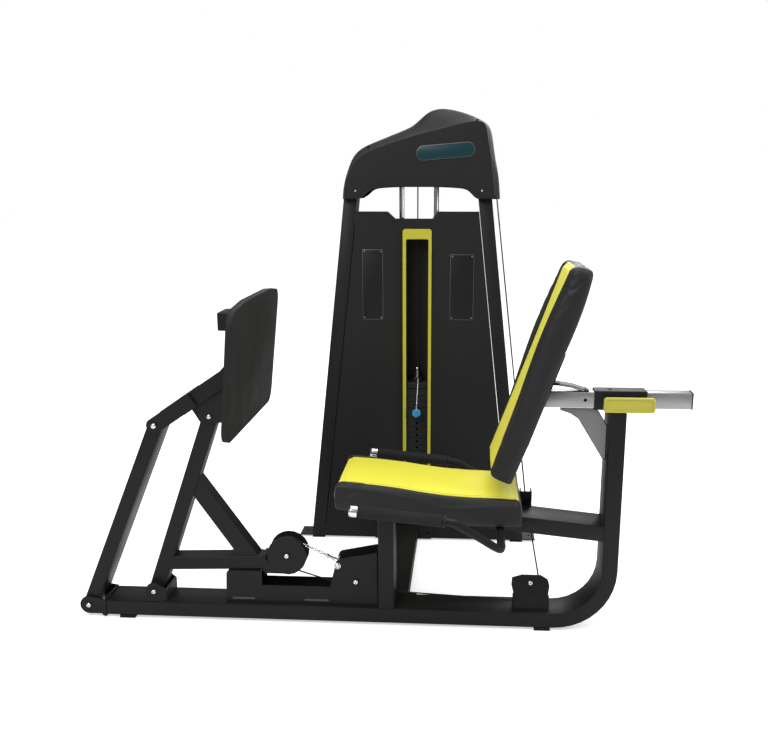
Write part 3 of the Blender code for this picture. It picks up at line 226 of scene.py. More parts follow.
# name: colour, roughness, grain per metre, depth of the grain, the rest
FINISHES = {
    "powder_black": (BLACK, 0.42, 1100, 6e-5, dict()),
    "link_black": (BLACK, 0.4, 1100, 6e-5, dict()),
    "shroud_black": ((0.0125, 0.0125, 0.013), 0.5, 1500, 5e-5, dict(edge_wear_and_highlight=0.2)),
    "footplate_black": ((0.014, 0.014, 0.0145), 0.56, 620, 2.2e-4, dict(edge_wear_and_highlight=0.3, edge=0.003, cells=420)),
    "bolt_chrome": ((0.8, 0.8, 0.81), 0.2, 600, 6e-6,
        dict(metal=1.0, edge_wear_and_highlight=0.3, worn=(0.5, 0.49, 0.47), vary=0.04)),
    "rod_chrome": ((0.5, 0.5, 0.51), 0.13, 900, 4e-6,
        dict(metal=1.0, edge_wear_and_highlight=0.1, streak=(1.0, 1.0, 0.03), vary=0.03)),
    "zinc": ((0.52, 0.52, 0.54), 0.36, 700, 2e-5, dict(metal=1.0, edge_wear_and_highlight=0.3, vary=0.1)),
    "tube_silver": ((0.37, 0.37, 0.38), 0.36, 1500, 1e-5,
        dict(metal=1.0, edge_wear_and_highlight=0.3, streak=(0.02, 1.0, 1.0), vary=0.05, worn=(0.8, 0.8, 0.8))),
    "pulley_black": ((0.014, 0.014, 0.014), 0.45, 900, 3e-5, dict()),
    "cable_black": ((0.01, 0.01, 0.011), 0.34, 700, 2e-5, dict(edge_wear_and_highlight=0.1, coat=0.3)),
    # the cap's strongly lightened edges stand for a painted highlight along its rims and crease
    "cap_black": ((0.012, 0.012, 0.0125), 0.5, 1900, 8e-5, dict(edge_wear_and_highlight=0.6, edge=0.0028, cells=1300)),
    "trim_olive": ((0.42, 0.4, 0.04), 0.42, 900, 3e-5, dict(edge_wear_and_highlight=0.25, vary=0.06, worn=(0.6, 0.57, 0.18))),
    "stack_iron": ((0.016, 0.016, 0.017), 0.55, 420, 2e-4, dict(edge_wear_and_highlight=0.5, cells=520)),
    "black_rubber": ((0.011, 0.011, 0.011), 0.78, 800, 1.2e-4, dict(edge_wear_and_highlight=0.4, worn=(0.06, 0.058, 0.055))),
    "grip_foam": ((0.016, 0.016, 0.016), 0.72, 1700, 3e-4, dict(edge_wear_and_highlight=0.2, cells=1600)),
    "lever_yellow": ((0.43, 0.395, 0.055), 0.33, 500, 3e-5,
        dict(edge_wear_and_highlight=0.25, vary=0.05, worn=(0.75, 0.72, 0.3), coat=0.15)),
    "pin_blue": ((0.03, 0.22, 0.42), 0.26, 500, 2e-5,
        dict(edge_wear_and_highlight=0.3, vary=0.1, coat=0.5, worn=(0.35, 0.6, 0.75))),
    "plug_black": ((0.012, 0.012, 0.012), 0.55, 1300, 6e-5, dict()),
    "thread_black": ((0.02, 0.02, 0.02), 0.6, 2600, 1e-4, dict(edge=0.0002, edge_wear_and_highlight=0.0)),
    "plaque_dark": ((0.01, 0.01, 0.011), 0.38, 900, 1e-5, dict(edge=0.0004, edge_wear_and_highlight=0.5, worn=(0.4, 0.4, 0.4))),
    "plaque_rim": ((0.1, 0.1, 0.105), 0.4, 900, 1e-5, dict(metal=0.8, edge=0.0004)),
    "badge_teal": ((0.005, 0.03, 0.037), 0.38, 900, 1e-5, dict(edge=0.0006, coat=0.1, vary=0.2)),
    # a lit grey for black plates that catch the lamps: painted light
    "gusset_painted_light": ((0.23, 0.23, 0.235), 0.45, 1100, 6e-5, dict(edge_wear_and_highlight=0.2)),
    "slot_grey": ((0.075, 0.075, 0.078), 0.5, 900, 3e-5, dict(edge_wear_and_highlight=0.1)),
    # lighter grey for the cover's crease line: a painted highlight
    "crease_painted_highlight": ((0.05, 0.05, 0.052), 0.42, 1900, 5e-5, dict(edge=0.0005, edge_wear_and_highlight=0.3)),
    # near-black for the cover's screw holes: painted shade in the holes
    "bore_painted_shade": ((0.003, 0.003, 0.003), 0.8, 700, 1e-4, dict(edge_wear_and_highlight=0.0)),
}
look = {name: coated(name, *values, **rest) for name, (*values, rest) in FINISHES.items()}
look["upholstery_yellow"] = vinyl("upholstery_yellow", YELLOW, (0.014, 0.014, 0.0145))

for part in frame["record"]["subparts"]:
    target = nodes[part["node"]]
    mesh = target.data
    mesh.materials.clear()
    mesh.materials.append(look[part["material_slot"]])
    if "custom_normal" in mesh.attributes:
        mesh.attributes.remove(mesh.attributes["custom_normal"])
    weld = target.modifiers.new("joined facets", "WELD")
    weld.merge_threshold = 0.000002
    creases = target.modifiers.new("crisp edges", "EDGE_SPLIT")
    creases.split_angle = math.radians(32)
    mesh.shade_smooth()


# ---------------------------------------------------------------- piece helpers
def mesh_of(bm, tidy=True):
    if tidy:
        bmesh.ops.recalc_face_normals(bm, faces=bm.faces)
    mesh = bpy.data.meshes.new("piece")
    bm.to_mesh(mesh)
    bm.free()
    return mesh


def placed(name, data):
    made = bpy.data.objects.new(name, data)
    bpy.context.scene.collection.objects.link(made)
    return made


def piece(name, source, slot, body, smooth=35.0, replaces=(), finish=None):
    """Links a mesh, or a bmesh, as a named piece of the object, in the slot's finish unless one is given."""
    mesh = mesh_of(source) if isinstance(source, bmesh.types.BMesh) else source
    mesh.name = name
    made = placed(name, mesh)
    mesh.materials.clear()
    mesh.materials.append(look[finish or slot])
    mesh.shade_smooth()
    mesh.set_sharp_from_angle(angle=math.radians(smooth))
    if body:
        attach(made, body)
    if replaces:
        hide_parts(*replaces)
    return made


def built(adder, *values, **options):
    """A new bmesh that holds one shape."""
    bm = bmesh.new()
    adder(bm, *values, **options)
    return bm


def axes_for(direction, hint=Vector((0, 0, 1))):
    """Two unit vectors square to the direction."""
    direction = direction.normalized()
    if abs(direction.dot(hint)) > 0.99:
        hint = Vector((1, 0, 0))
    side = direction.cross(hint).normalized()
    return side, side.cross(direction).normalized()


def circle(centre, side, up, radius, sides):
    angles = [2 * math.pi * step / sides for step in range(sides)]
    return [centre + (side * math.cos(angle) + up * math.sin(angle)) * radius for angle in angles]


def skin(bm, rings, closed=False):
    """Joins rings of points into one body. A ring of one point is a pole; open ends are capped."""
    rows = [[bm.verts.new(point) for point in ring] for ring in rings]
    sides = max(len(row) for row in rows)
    for first, second in zip(rows, rows[1:] + rows[:1] if closed else rows[1:]):
        for step in range(sides):
            following = (step + 1) % sides
            corners = (first[step % len(first)], first[following % len(first)],
                       second[following % len(second)], second[step % len(second)])
            bm.faces.new(tuple(dict.fromkeys(corners)))
    if not closed:
        for cap in (rows[0][::-1], rows[-1]):
            if len(cap) > 1:
                bm.faces.new(cap)


def add_tube(bm, points, radius, sides=12, closed=False, hint=Vector((0, 1, 0))):
    """A round tube through the points; radius is a number or one number per point."""
    points = [Vector(point) for point in points]
    last = len(points) - 1
    radii = radius if isinstance(radius, (list, tuple)) else [radius] * len(points)
    rings = []
    for index, point in enumerate(points):
        before = points[index - 1] if index or closed else point
        after = points[(index + 1) % len(points)] if index < last or closed else point
        rings.append(circle(point, *axes_for(after - before, hint), radii[index], sides))
    skin(bm, rings, closed)


def add_turned(bm, profile, start, axis, sides=32):
    """A shape turned about the axis from (radius, height) points, closed flat where it ends off the axis."""
    start, axis = Vector(start), Vector(axis).normalized()
    side, up = axes_for(axis)
    if profile[0][0]:
        profile = [(0.0, profile[0][1])] + profile
    if profile[-1][0]:
        profile = profile + [(0.0, profile[-1][1])]
    skin(bm, [circle(start + axis * height, side, up, radius, sides if radius else 1)
              for radius, height in profile])


def add_rod(bm, radius, length, start, axis, sides):
    add_turned(bm, [(radius, 0.0), (radius, length)], start, axis, sides)


def both_ways(half, middle=()):
    """A turned profile whose second end mirrors its first."""
    return [(radius, -height) for radius, height in half] + list(middle) + half[::-1]


def rounded_outline(half_x, half_y, radius, steps=6):
    found = []
    for centre_x, centre_y, start in ((1, 1, 0), (-1, 1, 90), (-1, -1, 180), (1, -1, 270)):
        for step in range(steps + 1):
            angle = math.radians(start + 90 * step / steps)
            found.append((centre_x * (half_x - radius) + radius * math.cos(angle),
                          centre_y * (half_y - radius) + radius * math.sin(angle)))
    return found


def add_panel(bm, outline, place, thickness, soft=0.0006):
    """A flat plate with softened edges; the outline lies in the matrix's XY plane and grows along its Z."""
    reach_x = max(abs(x) for x, _ in outline)
    reach_y = max(abs(y) for _, y in outline)
    steps = ((0.0, 0.0), (0.0, thickness - soft), (soft * 0.3, thickness - soft * 0.3), (soft, thickness))
    skin(bm, [[place @ Vector((x * (1 - inset / reach_x), y * (1 - inset / reach_y), height))
               for x, y in outline] for inset, height in steps])


def facing_front(x, y, z, tilt=0.0):
    """A frame whose X runs along +X turned up by tilt, Y up, and Z towards the front (-Y)."""
    matrix = Matrix(((1, 0, 0), (0, 0, -1), (0, 1, 0))).to_4x4()
    return Matrix.Translation(at(x, y, z)) @ Matrix.Rotation(-tilt, 4, "Y") @ matrix


def length_of(points):
    return np.linalg.norm(np.diff([tuple(point) for point in points], axis=0), axis=1).sum()


def resample(points, count):
    """Evenly spaced points along an open line, as an array."""
    line = np.array([tuple(point) for point in points], float)
    gone = np.concatenate([[0], np.cumsum(np.linalg.norm(np.diff(line, axis=0), axis=1))])
    steps = np.linspace(0, gone[-1], count)
    return np.stack([np.interp(steps, gone, line[:, k]) for k in range(line.shape[1])], 1)


def soften(line, rounds):
    """Evens out an open line's corners, its ends fixed."""
    line = line.copy()
    for _ in range(rounds):
        line[1:-1] = line[1:-1] * 0.5 + (line[:-2] + line[2:]) * 0.25
    return line


# ---------------------------------------------------------------- cushions
VOXEL = 0.0048
PRESSURE = 4.0
OFF_PANEL = -0.02  # the seam distance of points that lie nowhere near the panel


def read_points(holder, count, key="co"):
    found = np.empty(count * 3)
    holder.foreach_get(key, found)
    return found.reshape(-1, 3)


def coordinates(mesh):
    return read_points(mesh.vertices, len(mesh.vertices))


def evaluated(made):
    return made.evaluated_get(bpy.context.evaluated_depsgraph_get())


def stuffed(mesh, pinned, cap):
    """Fills a cushion's cover by cloth simulation: pinned points stay, others move up to cap."""
    made = placed("stuffing", mesh)
    remesh = made.modifiers.new("even", "REMESH")
    remesh.mode = "VOXEL"
    remesh.voxel_size = VOXEL
    bpy.context.view_layer.update()
    even = bpy.data.meshes.new_from_object(evaluated(made))
    made.modifiers.clear()
    made.data = even
    before = coordinates(even)
    group = made.vertex_groups.new(name="held")
    group.add([int(index) for index in np.nonzero(pinned(before))[0]], 1.0, "REPLACE")
    cloth = made.modifiers.new("stuffing", "CLOTH")
    stuffing = {"quality": 5, "mass": 0.3, "tension_stiffness": 25, "compression_stiffness": 25,
                "bending_stiffness": 8, "use_pressure": True, "uniform_pressure_force": PRESSURE,
                "vertex_group_mass": "held"}
    for setting, value in stuffing.items():
        setattr(cloth.settings, setting, value)
    cloth.settings.effector_weights.gravity = 0
    cloth.collision_settings.use_collision = False
    scene = bpy.context.scene
    for step in range(1, 21):
        scene.frame_set(step)
    after = coordinates(evaluated(made).data)
    move = after - before
    far = np.linalg.norm(move, axis=1)
    move *= (np.minimum(far, cap) / np.maximum(far, 1e-9))[:, None]
    made.modifiers.clear()
    scene.frame_set(1)
    even.vertices.foreach_set("co", (before + move).ravel())
    finer = made.modifiers.new("finer", "SUBSURF")
    finer.levels = finer.render_levels = 1
    bpy.context.view_layer.update()
    mesh = bpy.data.meshes.new_from_object(evaluated(made))
    bpy.data.objects.remove(made, do_unlink=True)
    return mesh


def sew(mesh, distance, welt=0.0016, width=0.0026):
    """Pulls the cover in along the seam and stores each point's signed distance from it."""
    co = coordinates(mesh)
    pull = welt * np.exp(-((distance / width) ** 2))
    ease = sum(0.0011 * np.exp(-(((distance - crest) / 0.004) ** 2)) for crest in (0.007, -0.007))
    co -= read_points(mesh.vertex_normals, len(co), "vector") * (pull - ease)[:, None]
    mesh.vertices.foreach_set("co", co.ravel())
    seam = mesh.attributes.new("seam", "FLOAT", "POINT")
    seam.data.foreach_set("value", distance.astype(np.float32))
    mesh.update()


def stitches(name, cover, line, into, body, pitch=0.0052):
    """Short raised threads along a line, dropped onto the cover in the direction `into`."""
    tree = BVHTree.FromPolygons([v.co for v in cover.vertices], [tuple(p.vertices) for p in cover.polygons])
    path = resample(line, max(3, int(length_of(line) / pitch)))
    bm = bmesh.new()
    for start, end in zip(map(Vector, path), map(Vector, path[1:])):
        ends = []
        for share, rise in zip((0.14, 0.32, 0.5, 0.68, 0.86), (-0.0003, 0.00035, 0.00055, 0.00035, -0.0003)):
            hit = tree.ray_cast(start + (end - start) * share - into * 0.05, into)[0]
            if hit is None:
                break
            ends.append(hit - into * rise)
        else:
            add_tube(bm, ends, [0.00028, 0.00045, 0.0005, 0.00045, 0.00028], 6)
    piece(name, bm, "upholstery_yellow", body, finish="thread_black")


seat_low, seat_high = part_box("seat_cushion")
SEAT_START, SEAT_END = seat_low.x, seat_high.x
SEAT_HALF = (seat_high.y - seat_low.y) / 2
PANEL_HALF = 0.1335
STITCH_INSET = 0.0052  # from the seam to the line of stitches inside it
BEAM_GAP = 0.0035
ridge_line = np.array([
    (-0.107, 0.515), (-0.06, 0.514), (-0.025, 0.5105), (0.04, 0.501), (0.099, 0.4905), (0.172, 0.4715),
    (0.229, 0.4575), (0.271, 0.4555), (0.316, 0.458), (0.397, 0.464), (0.466, 0.466)])
edge_line = np.array([(-0.107, 0.511), (0.0, 0.5045), (0.466, 0.463)])
under_line = np.array([
    (-0.107, 0.434), (-0.092, 0.43), (0.05, 0.406), (0.12, 0.396), (0.22, 0.389), (0.466, 0.387)])


def read_off(line, where):
    return np.interp(where, line[:, 0], line[:, 1])


def beam_top(x):
    """Height of the sloping seat beam's upper face."""
    return 0.3871 - 0.1007 * (x - 0.4717)


def end_inset(gone, left, radius_start, radius_end):
    """How far a section draws in near a rounded end."""
    for reach, radius in ((gone, radius_start), (left, radius_end)):
        if reach < radius:
            return radius - math.sqrt(max(0.0, radius * radius - (radius - reach) ** 2))
    return 0.0


def mirrored(right, bottom):
    """A section's whole ring from its right half and the height of its underside at the middle."""
    return right + [(0.0, bottom)] + [(-across, height) for across, height in right[1:]][::-1]


def seat_ring(x):
    ridge, edge, low = (float(read_off(line, x)) for line in (ridge_line, edge_line, under_line))
    saddle = max(beam_top(x) + BEAM_GAP, low + 0.0005)
    half = SEAT_HALF - 0.003
    right = [(PANEL_HALF * share, edge + 0.0035 * (1 - share ** 2.4)) for share in (0, 0.25, 0.5, 0.75, 0.92)]
    right += [(PANEL_HALF, edge - 0.0005), (PANEL_HALF + 0.01, edge * 0.66 + ridge * 0.34 + 0.0025),
              (PANEL_HALF + 0.0185, edge * 0.3 + ridge * 0.7 + 0.0015), (half - 0.006, ridge - 0.003),
              (half - 0.0012, ridge - 0.0105), (half, ridge - 0.022), (half, low + 0.022),
              (half - 0.0015, low + 0.01), (half - 0.008, low + 0.0015), (half - 0.02, low),
              (0.0675, low), (0.0665, saddle), (0.03, saddle)]
    inset = end_inset(x - SEAT_START, SEAT_END - x, 0.011, 0.01)
    middle, tall = (edge + low) / 2, (edge - low) / 2
    return [at(x, y * (1 - inset / half), middle + (z - middle) * (1 - inset / tall))
            for y, z in mirrored(right, saddle)]


def stations(start, end, count, tight=0.011):
    """Places along a cushion, closer together at its rounded ends."""
    ends = [0.0006, 0.0022, 0.0045, 0.0075, tight]
    inner = list(np.linspace(start + tight, end - tight, count))
    return [start + reach for reach in ends[:-1]] + inner + [end - reach for reach in ends[:-1]][::-1]


def plan_distance(x, y, x0, x1, half, radius):
    """Signed distance inside a rounded rectangle in plan, positive inside."""
    qx = np.abs(x - (x0 + x1) / 2) - (x1 - x0) / 2 + radius
    qy = np.abs(y) - half + radius
    outside = np.hypot(np.maximum(qx, 0), np.maximum(qy, 0))
    return radius - outside - np.minimum(np.maximum(qx, qy), 0)


seat_mesh = stuffed(
    mesh_of(built(skin, [seat_ring(x) for x in stations(SEAT_START + 0.0025, SEAT_END - 0.0025, 44)])),
    lambda co: co[:, 2] < read_off(under_line, co[:, 0]) + 0.012,
    0.0055,
)
co = coordinates(seat_mesh)
seat_seam = plan_distance(co[:, 0], co[:, 1] - MID_Y, SEAT_START + 0.006, SEAT_END - 0.005, PANEL_HALF, 0.01)
seat_seam[co[:, 2] < read_off(edge_line, co[:, 0]) - 0.02] = OFF_PANEL
sew(seat_mesh, seat_seam)
piece("seat_pad", seat_mesh, "upholstery_yellow", "frame", 60, ("seat_cushion",))
ABOVE_SEAT = 0.55
along = np.linspace(SEAT_START + 0.016, SEAT_END - 0.014, 40)
across = np.linspace(-PANEL_HALF + 0.012, PANEL_HALF - 0.012, 20)
for word, xs, ys in (("near", along, [STITCH_INSET - PANEL_HALF] * 40),
                     ("far", along, [PANEL_HALF - STITCH_INSET] * 40),
                     ("front", [SEAT_START + 0.0115] * 20, across),
                     ("rear", [SEAT_END - 0.0105] * 20, across)):
    run = [at(x, y, ABOVE_SEAT) for x, y in zip(xs, ys)]
    stitches("seat_stitches_" + word, seat_mesh, run, Vector((0, 0, -1)), "frame")

# ---- back cushion, in its own frame: u across, v up the back, w into it
BACK_LEAN = math.radians(19.8)
back_up = Vector((math.sin(BACK_LEAN), 0, math.cos(BACK_LEAN)))
back_in = Vector((math.cos(BACK_LEAN), 0, -math.sin(BACK_LEAN)))
back_corner = at(0.364, 0.0, 0.538)
BACK_LONG, BACK_HALF = 0.68, 0.15
panel_width = np.array([
    (0.0, 0.119), (0.1, 0.109), (0.22, 0.098), (0.34, 0.0925), (0.46, 0.0925), (0.56, 0.096),
    (0.68, 0.101)])
bulge_line = np.array([
    (0.0, -0.001), (0.1, 0.0), (0.2, 0.003), (0.32, 0.009), (0.44, 0.0135), (0.54, 0.012), (0.62, 0.007),
    (0.68, 0.003)])
rear_line = np.array([
    (0.0, 0.0715), (0.06, 0.0725), (0.16, 0.0755), (0.28, 0.0735), (0.38, 0.0705), (0.5, 0.074),
    (0.58, 0.072), (0.64, 0.066), (0.68, 0.06)])


def on_back(u, v, w):
    return back_corner + Vector((0, u, 0)) + back_up * v + back_in * w


def smooth_at(line, where):
    """A value read off a line of points with the corners eased."""
    fine = np.linspace(line[0, 0], line[-1, 0], 69)
    value = soften(np.interp(fine, line[:, 0], line[:, 1])[:, None], 12)[:, 0]
    return np.interp(where, fine, value)


def back_ring(v):
    panel, bulge, rear = (float(smooth_at(line, v)) for line in (panel_width, bulge_line, rear_line))
    rear -= 0.0015
    half = BACK_HALF - 0.0025
    span = half - panel
    right = [(panel * share, 0.003 * share ** 2.4) for share in (0.0, 0.3, 0.6, 0.85)]
    right += [(panel, 0.0035), (panel + span * 0.22, 0.0015 - bulge * 0.55),
              (panel + span * 0.5, 0.002 - bulge * 0.95), (panel + span * 0.74, 0.0035 - bulge),
              (half - 0.0055, 0.0065 - bulge * 0.85), (half - 0.0008, 0.0135 - bulge * 0.6),
              (half, 0.024), (half, rear - 0.02), (half - 0.0015, rear - 0.01), (half - 0.008, rear - 0.0022),
              (half - 0.018, rear), (0.06, rear)]
    wide, deep = (end_inset(v, BACK_LONG - v, 0.006, radius) for radius in (0.034, 0.014))
    middle = rear / 2
    return [on_back(u * (1 - wide / half), v, middle + (w - middle) * (1 - deep / middle))
            for u, w in mirrored(right, rear)]


def back_axes(co):
    """The cushion's own u, v, w for each point."""
    away = co - np.array(back_corner)
    return away[:, 1], away @ np.array(back_up), away @ np.array(back_in)


tops = [BACK_LONG - 0.0025 - reach for reach in (0.0, 0.0012, 0.004, 0.009, 0.016, 0.025)]
back_mesh = stuffed(
    mesh_of(built(skin, [back_ring(v) for v in stations(0.0025, 0.645, 46, 0.01)[:-5] + tops[::-1]])),
    lambda co: back_axes(co)[2] > read_off(rear_line, back_axes(co)[1]) - 0.014,
    0.005,
)
u, v, w = back_axes(coordinates(back_mesh))
inner = smooth_at(panel_width, v) - np.abs(u)
back_seam = np.minimum(inner * 0.99, np.minimum(v - 0.0055, BACK_LONG - 0.0085 - v))
back_seam[w > 0.022] = OFF_PANEL
sew(back_mesh, back_seam)
piece("back_pad", back_mesh, "upholstery_yellow", "backrest", 60, ("back_cushion",))
BEFORE_BACK = -0.04
for side, word in ((-1, "near"), (1, "far")):
    run = [on_back(side * (float(smooth_at(panel_width, v)) - STITCH_INSET), v, BEFORE_BACK)
           for v in np.linspace(0.016, 0.66, 60)]
    stitches("back_stitches_" + word, back_mesh, run, back_in, "backrest")
for v, word in ((0.0112, "low"), (BACK_LONG - 0.0142, "top")):
    reach = float(smooth_at(panel_width, v)) - 0.012
    run = [on_back(u, v, BEFORE_BACK) for u in np.linspace(-reach, reach, 20)]
    stitches("back_stitches_" + word, back_mesh, run, back_in, "backrest")

# ---------------------------------------------------------------- tower cover
CAP_SPLIT, CAP_FACE, CAP_BACK = 0.75, 0.655, 0.8418  # from the rail's middle plane
outer_line = np.array([
    (-0.184, 1.345), (-0.1825, 1.372), (-0.179, 1.397), (-0.169, 1.434), (-0.156, 1.47), (-0.145, 1.495),
    (-0.129, 1.516), (-0.108, 1.531), (-0.084, 1.542), (-0.01, 1.57), (0.04, 1.589), (0.068, 1.6005),
    (0.086, 1.611), (0.104, 1.628), (0.124, 1.647), (0.14, 1.6575), (0.16, 1.6655), (0.186, 1.6695),
    (0.223, 1.664), (0.256, 1.656), (0.289, 1.646), (0.32, 1.632), (0.347, 1.618), (0.366, 1.604),
    (0.3725, 1.565), (0.378, 1.53), (0.383, 1.495), (0.39, 1.463), (0.397, 1.435), (0.402, 1.39),
    (0.4045, 1.345)])
crease_line = np.array([
    (-0.171, 1.345), (-0.17, 1.368), (-0.168, 1.39), (-0.163, 1.414), (-0.151, 1.443), (-0.138, 1.466),
    (-0.125, 1.484), (-0.108, 1.499), (-0.084, 1.514), (-0.03, 1.534), (0.025, 1.5505), (0.06, 1.561),
    (0.081, 1.567), (0.105, 1.5735), (0.13, 1.58), (0.155, 1.586), (0.18, 1.592), (0.21, 1.599),
    (0.24, 1.606), (0.265, 1.612), (0.29, 1.6165), (0.315, 1.619), (0.335, 1.6165), (0.346, 1.608),
    (0.3515, 1.575), (0.358, 1.538), (0.365, 1.5), (0.37, 1.468), (0.375, 1.435), (0.38, 1.39),
    (0.385, 1.345)])
arch_line = np.array([
    (-0.118, 1.346), (-0.1165, 1.3475), (-0.112, 1.3505), (-0.105, 1.354), (-0.098, 1.3585), (-0.09, 1.366),
    (-0.082, 1.3735), (-0.074, 1.379), (-0.06, 1.383), (-0.03, 1.3855), (0.01, 1.387), (0.045, 1.388),
    (0.07, 1.388), (0.09, 1.388), (0.11, 1.388), (0.13, 1.388), (0.15, 1.388), (0.169, 1.388),
    (0.19, 1.387), (0.215, 1.386), (0.24, 1.3845), (0.262, 1.383), (0.278, 1.3795), (0.288, 1.374),
    (0.295, 1.3665), (0.302, 1.359), (0.308, 1.3535), (0.313, 1.35), (0.317, 1.348), (0.32, 1.3465),
    (0.322, 1.346)])


def fine_line(line, count=121):
    """The line with rounded corners, at evenly numbered points so that two lines keep matching."""
    numbers = np.linspace(0, len(line) - 1, count)
    whole = np.stack([np.interp(numbers, np.arange(len(line)), line[:, k]) for k in range(2)], 1)
    return soften(whole, 14)


outer_fine, crease_fine, arch_fine = fine_line(outer_line), fine_line(crease_line), fine_line(arch_line)


def shell(name, layers, replaced):
    """A moulded shell through open layers of (line, y), thickened inwards."""
    bm = bmesh.new()
    rows = [[bm.verts.new(at(x, y, z)) for x, z in line] for line, y in layers]
    for first, second in zip(rows, rows[1:]):
        for k in range(len(first) - 1):
            bm.faces.new((first[k], first[k + 1], second[k + 1], second[k]))
    made = piece(name, bm, "cap_black", "frame", 40, (replaced,))
    solid = made.modifiers.new("wall", "SOLIDIFY")
    solid.thickness = 0.0026
    solid.offset = -1.0


def cover_layers(side, face, lip):
    """Layers at (share, y) from rim to crease, at (share, y) from crease to arch, and at y along the arch."""
    found = []
    for first, second, steps in ((outer_fine, crease_fine, side), (crease_fine, arch_fine, face)):
        found += [(first * (1 - share) + second * share, y) for share, y in steps]
    return found + [(arch_fine, y) for y in lip]


shell("tower_cover_front", cover_layers(
    [(0.0, CAP_SPLIT - GAP), (0.0, 0.742), (0.01, 0.735), (0.07, 0.718), (0.26, 0.698), (0.58, 0.679),
     (0.85, 0.6645), (0.985, 0.6568)],
    [(0.004, 0.6552), (0.03, CAP_FACE), (0.25, CAP_FACE), (0.5, CAP_FACE), (0.75, CAP_FACE), (0.95, CAP_FACE),
     (0.99, 0.6556)],
    [0.658, 0.674]), "cap_front")
shell("tower_cover_rear", cover_layers(
    [(0.0, CAP_SPLIT + GAP), (0.0, 0.758), (0.06, 0.768), (0.24, 0.785), (0.52, 0.806), (0.8, 0.826),
     (0.95, 0.8375)],
    [(0.012, 0.8412), (0.05, CAP_BACK), (0.3, CAP_BACK), (0.6, CAP_BACK), (0.95, CAP_BACK), (0.99, 0.8412)],
    [0.839, 0.826]), "cap_rear")
# a thin lighter bead along the front cover's crease: a painted highlight on the crease line
bead = built(add_tube, [at(x, 0.6556, z) for x, z in crease_fine[1:-1]], 0.0011, 8)
piece("tower_cover_bead", bead, "cap_black", "frame", 60, finish="crease_painted_highlight")

# ---- badge, blank plates and screws
BADGE_X, BADGE_Z, BADGE_TILT = 0.2025, 1.514, math.radians(4.6)
for name, inset, y, thickness, soft, slot, finish in (
        ("badge_rim", 0.0, 0.6548, 0.0022, 0.0009, "zinc", "plaque_rim"),
        ("badge_face", 0.0025, 0.6526, 0.0009, 0.0004, "cap_black", "badge_teal")):
    outline = rounded_outline(0.1065 - inset, 0.0265 - inset, 0.0255 - inset, 10)
    plate = built(add_panel, outline, facing_front(BADGE_X, y, BADGE_Z, BADGE_TILT), thickness, soft)
    piece(name, plate, slot, "frame", 50, finish=finish)

RIVET = [(0.0, 0.0016), (0.001, 0.0015), (0.0018, 0.0009), (0.0021, 0.0)]
for word, x0, x1, z0, z1 in (("left", -0.11, -0.031, 0.895, 1.16), ("right", 0.222, 0.312, 0.896, 1.143)):
    for kind, inset, y, corner, thickness, slot, finish in (
            ("rim", 0.0, 0.6913, 0.004, 0.0008, "zinc", "plaque_rim"),
            ("face", 0.0022, 0.6905, 0.003, 0.0004, "shroud_black", "plaque_dark")):
        outline = rounded_outline((x1 - x0) / 2 - inset, (z1 - z0) / 2 - inset, corner)
        middle = facing_front((x0 + x1) / 2, y, (z0 + z1) / 2)
        plate = built(add_panel, outline, middle, thickness, thickness / 2)
        piece(f"plate_{kind}_{word}", plate, slot, "frame", 50, finish=finish)
    bm = bmesh.new()
    for x in (x0 + 0.008, x1 - 0.008):
        for z in (z0 + 0.008, z1 - 0.008):
            add_turned(bm, RIVET, at(x, 0.6901, z), FRONT, 14)
    piece("plate_rivets_" + word, bm, "zinc", "frame", 50)


def add_socket_head(bm, centre, radius, height, axis=FRONT):
    """A domed button head with a hexagonal recess; the axis points out of the head."""
    centre, axis = Vector(centre), Vector(axis).normalized()
    side, up = axes_for(axis)
    drive = 0.36
    rings = [circle(centre + axis * height * rise, side, up, radius * size, 36)
             for size, rise in ((1, 0), (1, 0.22), (0.93, 0.52), (0.78, 0.8), (0.6, 0.96), (drive * 1.18, 1))]
    for rise in (1, 0.45):
        level = centre + axis * height * rise
        flats = [math.cos(math.pi / 6) / math.cos(math.radians((10 * k + 30) % 60 - 30)) for k in range(36)]
        rings.append([level.lerp(point, flat)
                      for point, flat in zip(circle(level, side, up, radius * drive, 36), flats)])
    skin(bm, rings)


def add_hex_nut(bm, centre, radius, height):
    centre, axis = Vector(centre), REAR
    side, up = axes_for(axis)
    skin(bm, [circle(centre + axis * height * rise, side, up, radius * size, 6)
              for size, rise in ((0.9, 0.0), (1.0, 0.12), (1.0, 0.88), (0.88, 1.0))])
    thread = [(radius * 0.42, height * 1.35), (radius * 0.5, height * 1.2), (radius * 0.5, height * 0.9)]
    add_turned(bm, thread, centre, axis, 20)


def pivot_bolt(node, body, radius):
    """Washer, domed socket head on the near side and washer, nut on the far side, for the plain CAD bolt."""
    low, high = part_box(node)
    x, z = (low.x + high.x) / 2, (low.z + high.z) / 2
    near, far = low.y + 0.009, high.y - 0.009
    thick = 0.0018
    rim = radius * 1.5
    washer = [(radius * 1.42, thick), (rim, 0.0011), (rim, 0.0001)]
    bm = built(add_turned, washer, (x, near, z), FRONT)
    add_turned(bm, washer, (x, far, z), REAR)
    piece(node + "_washers", bm, "powder_black", body, 32)
    bm = built(add_socket_head, (x, near - thick, z), radius, 0.0058)
    add_hex_nut(bm, (x, far + thick, z), radius * 1.25, 0.0062)
    add_rod(bm, 0.0076, far - near, (x, near, z), REAR, 20)
    piece(node + "_fine", bm, "bolt_chrome", body, 32, (node,))


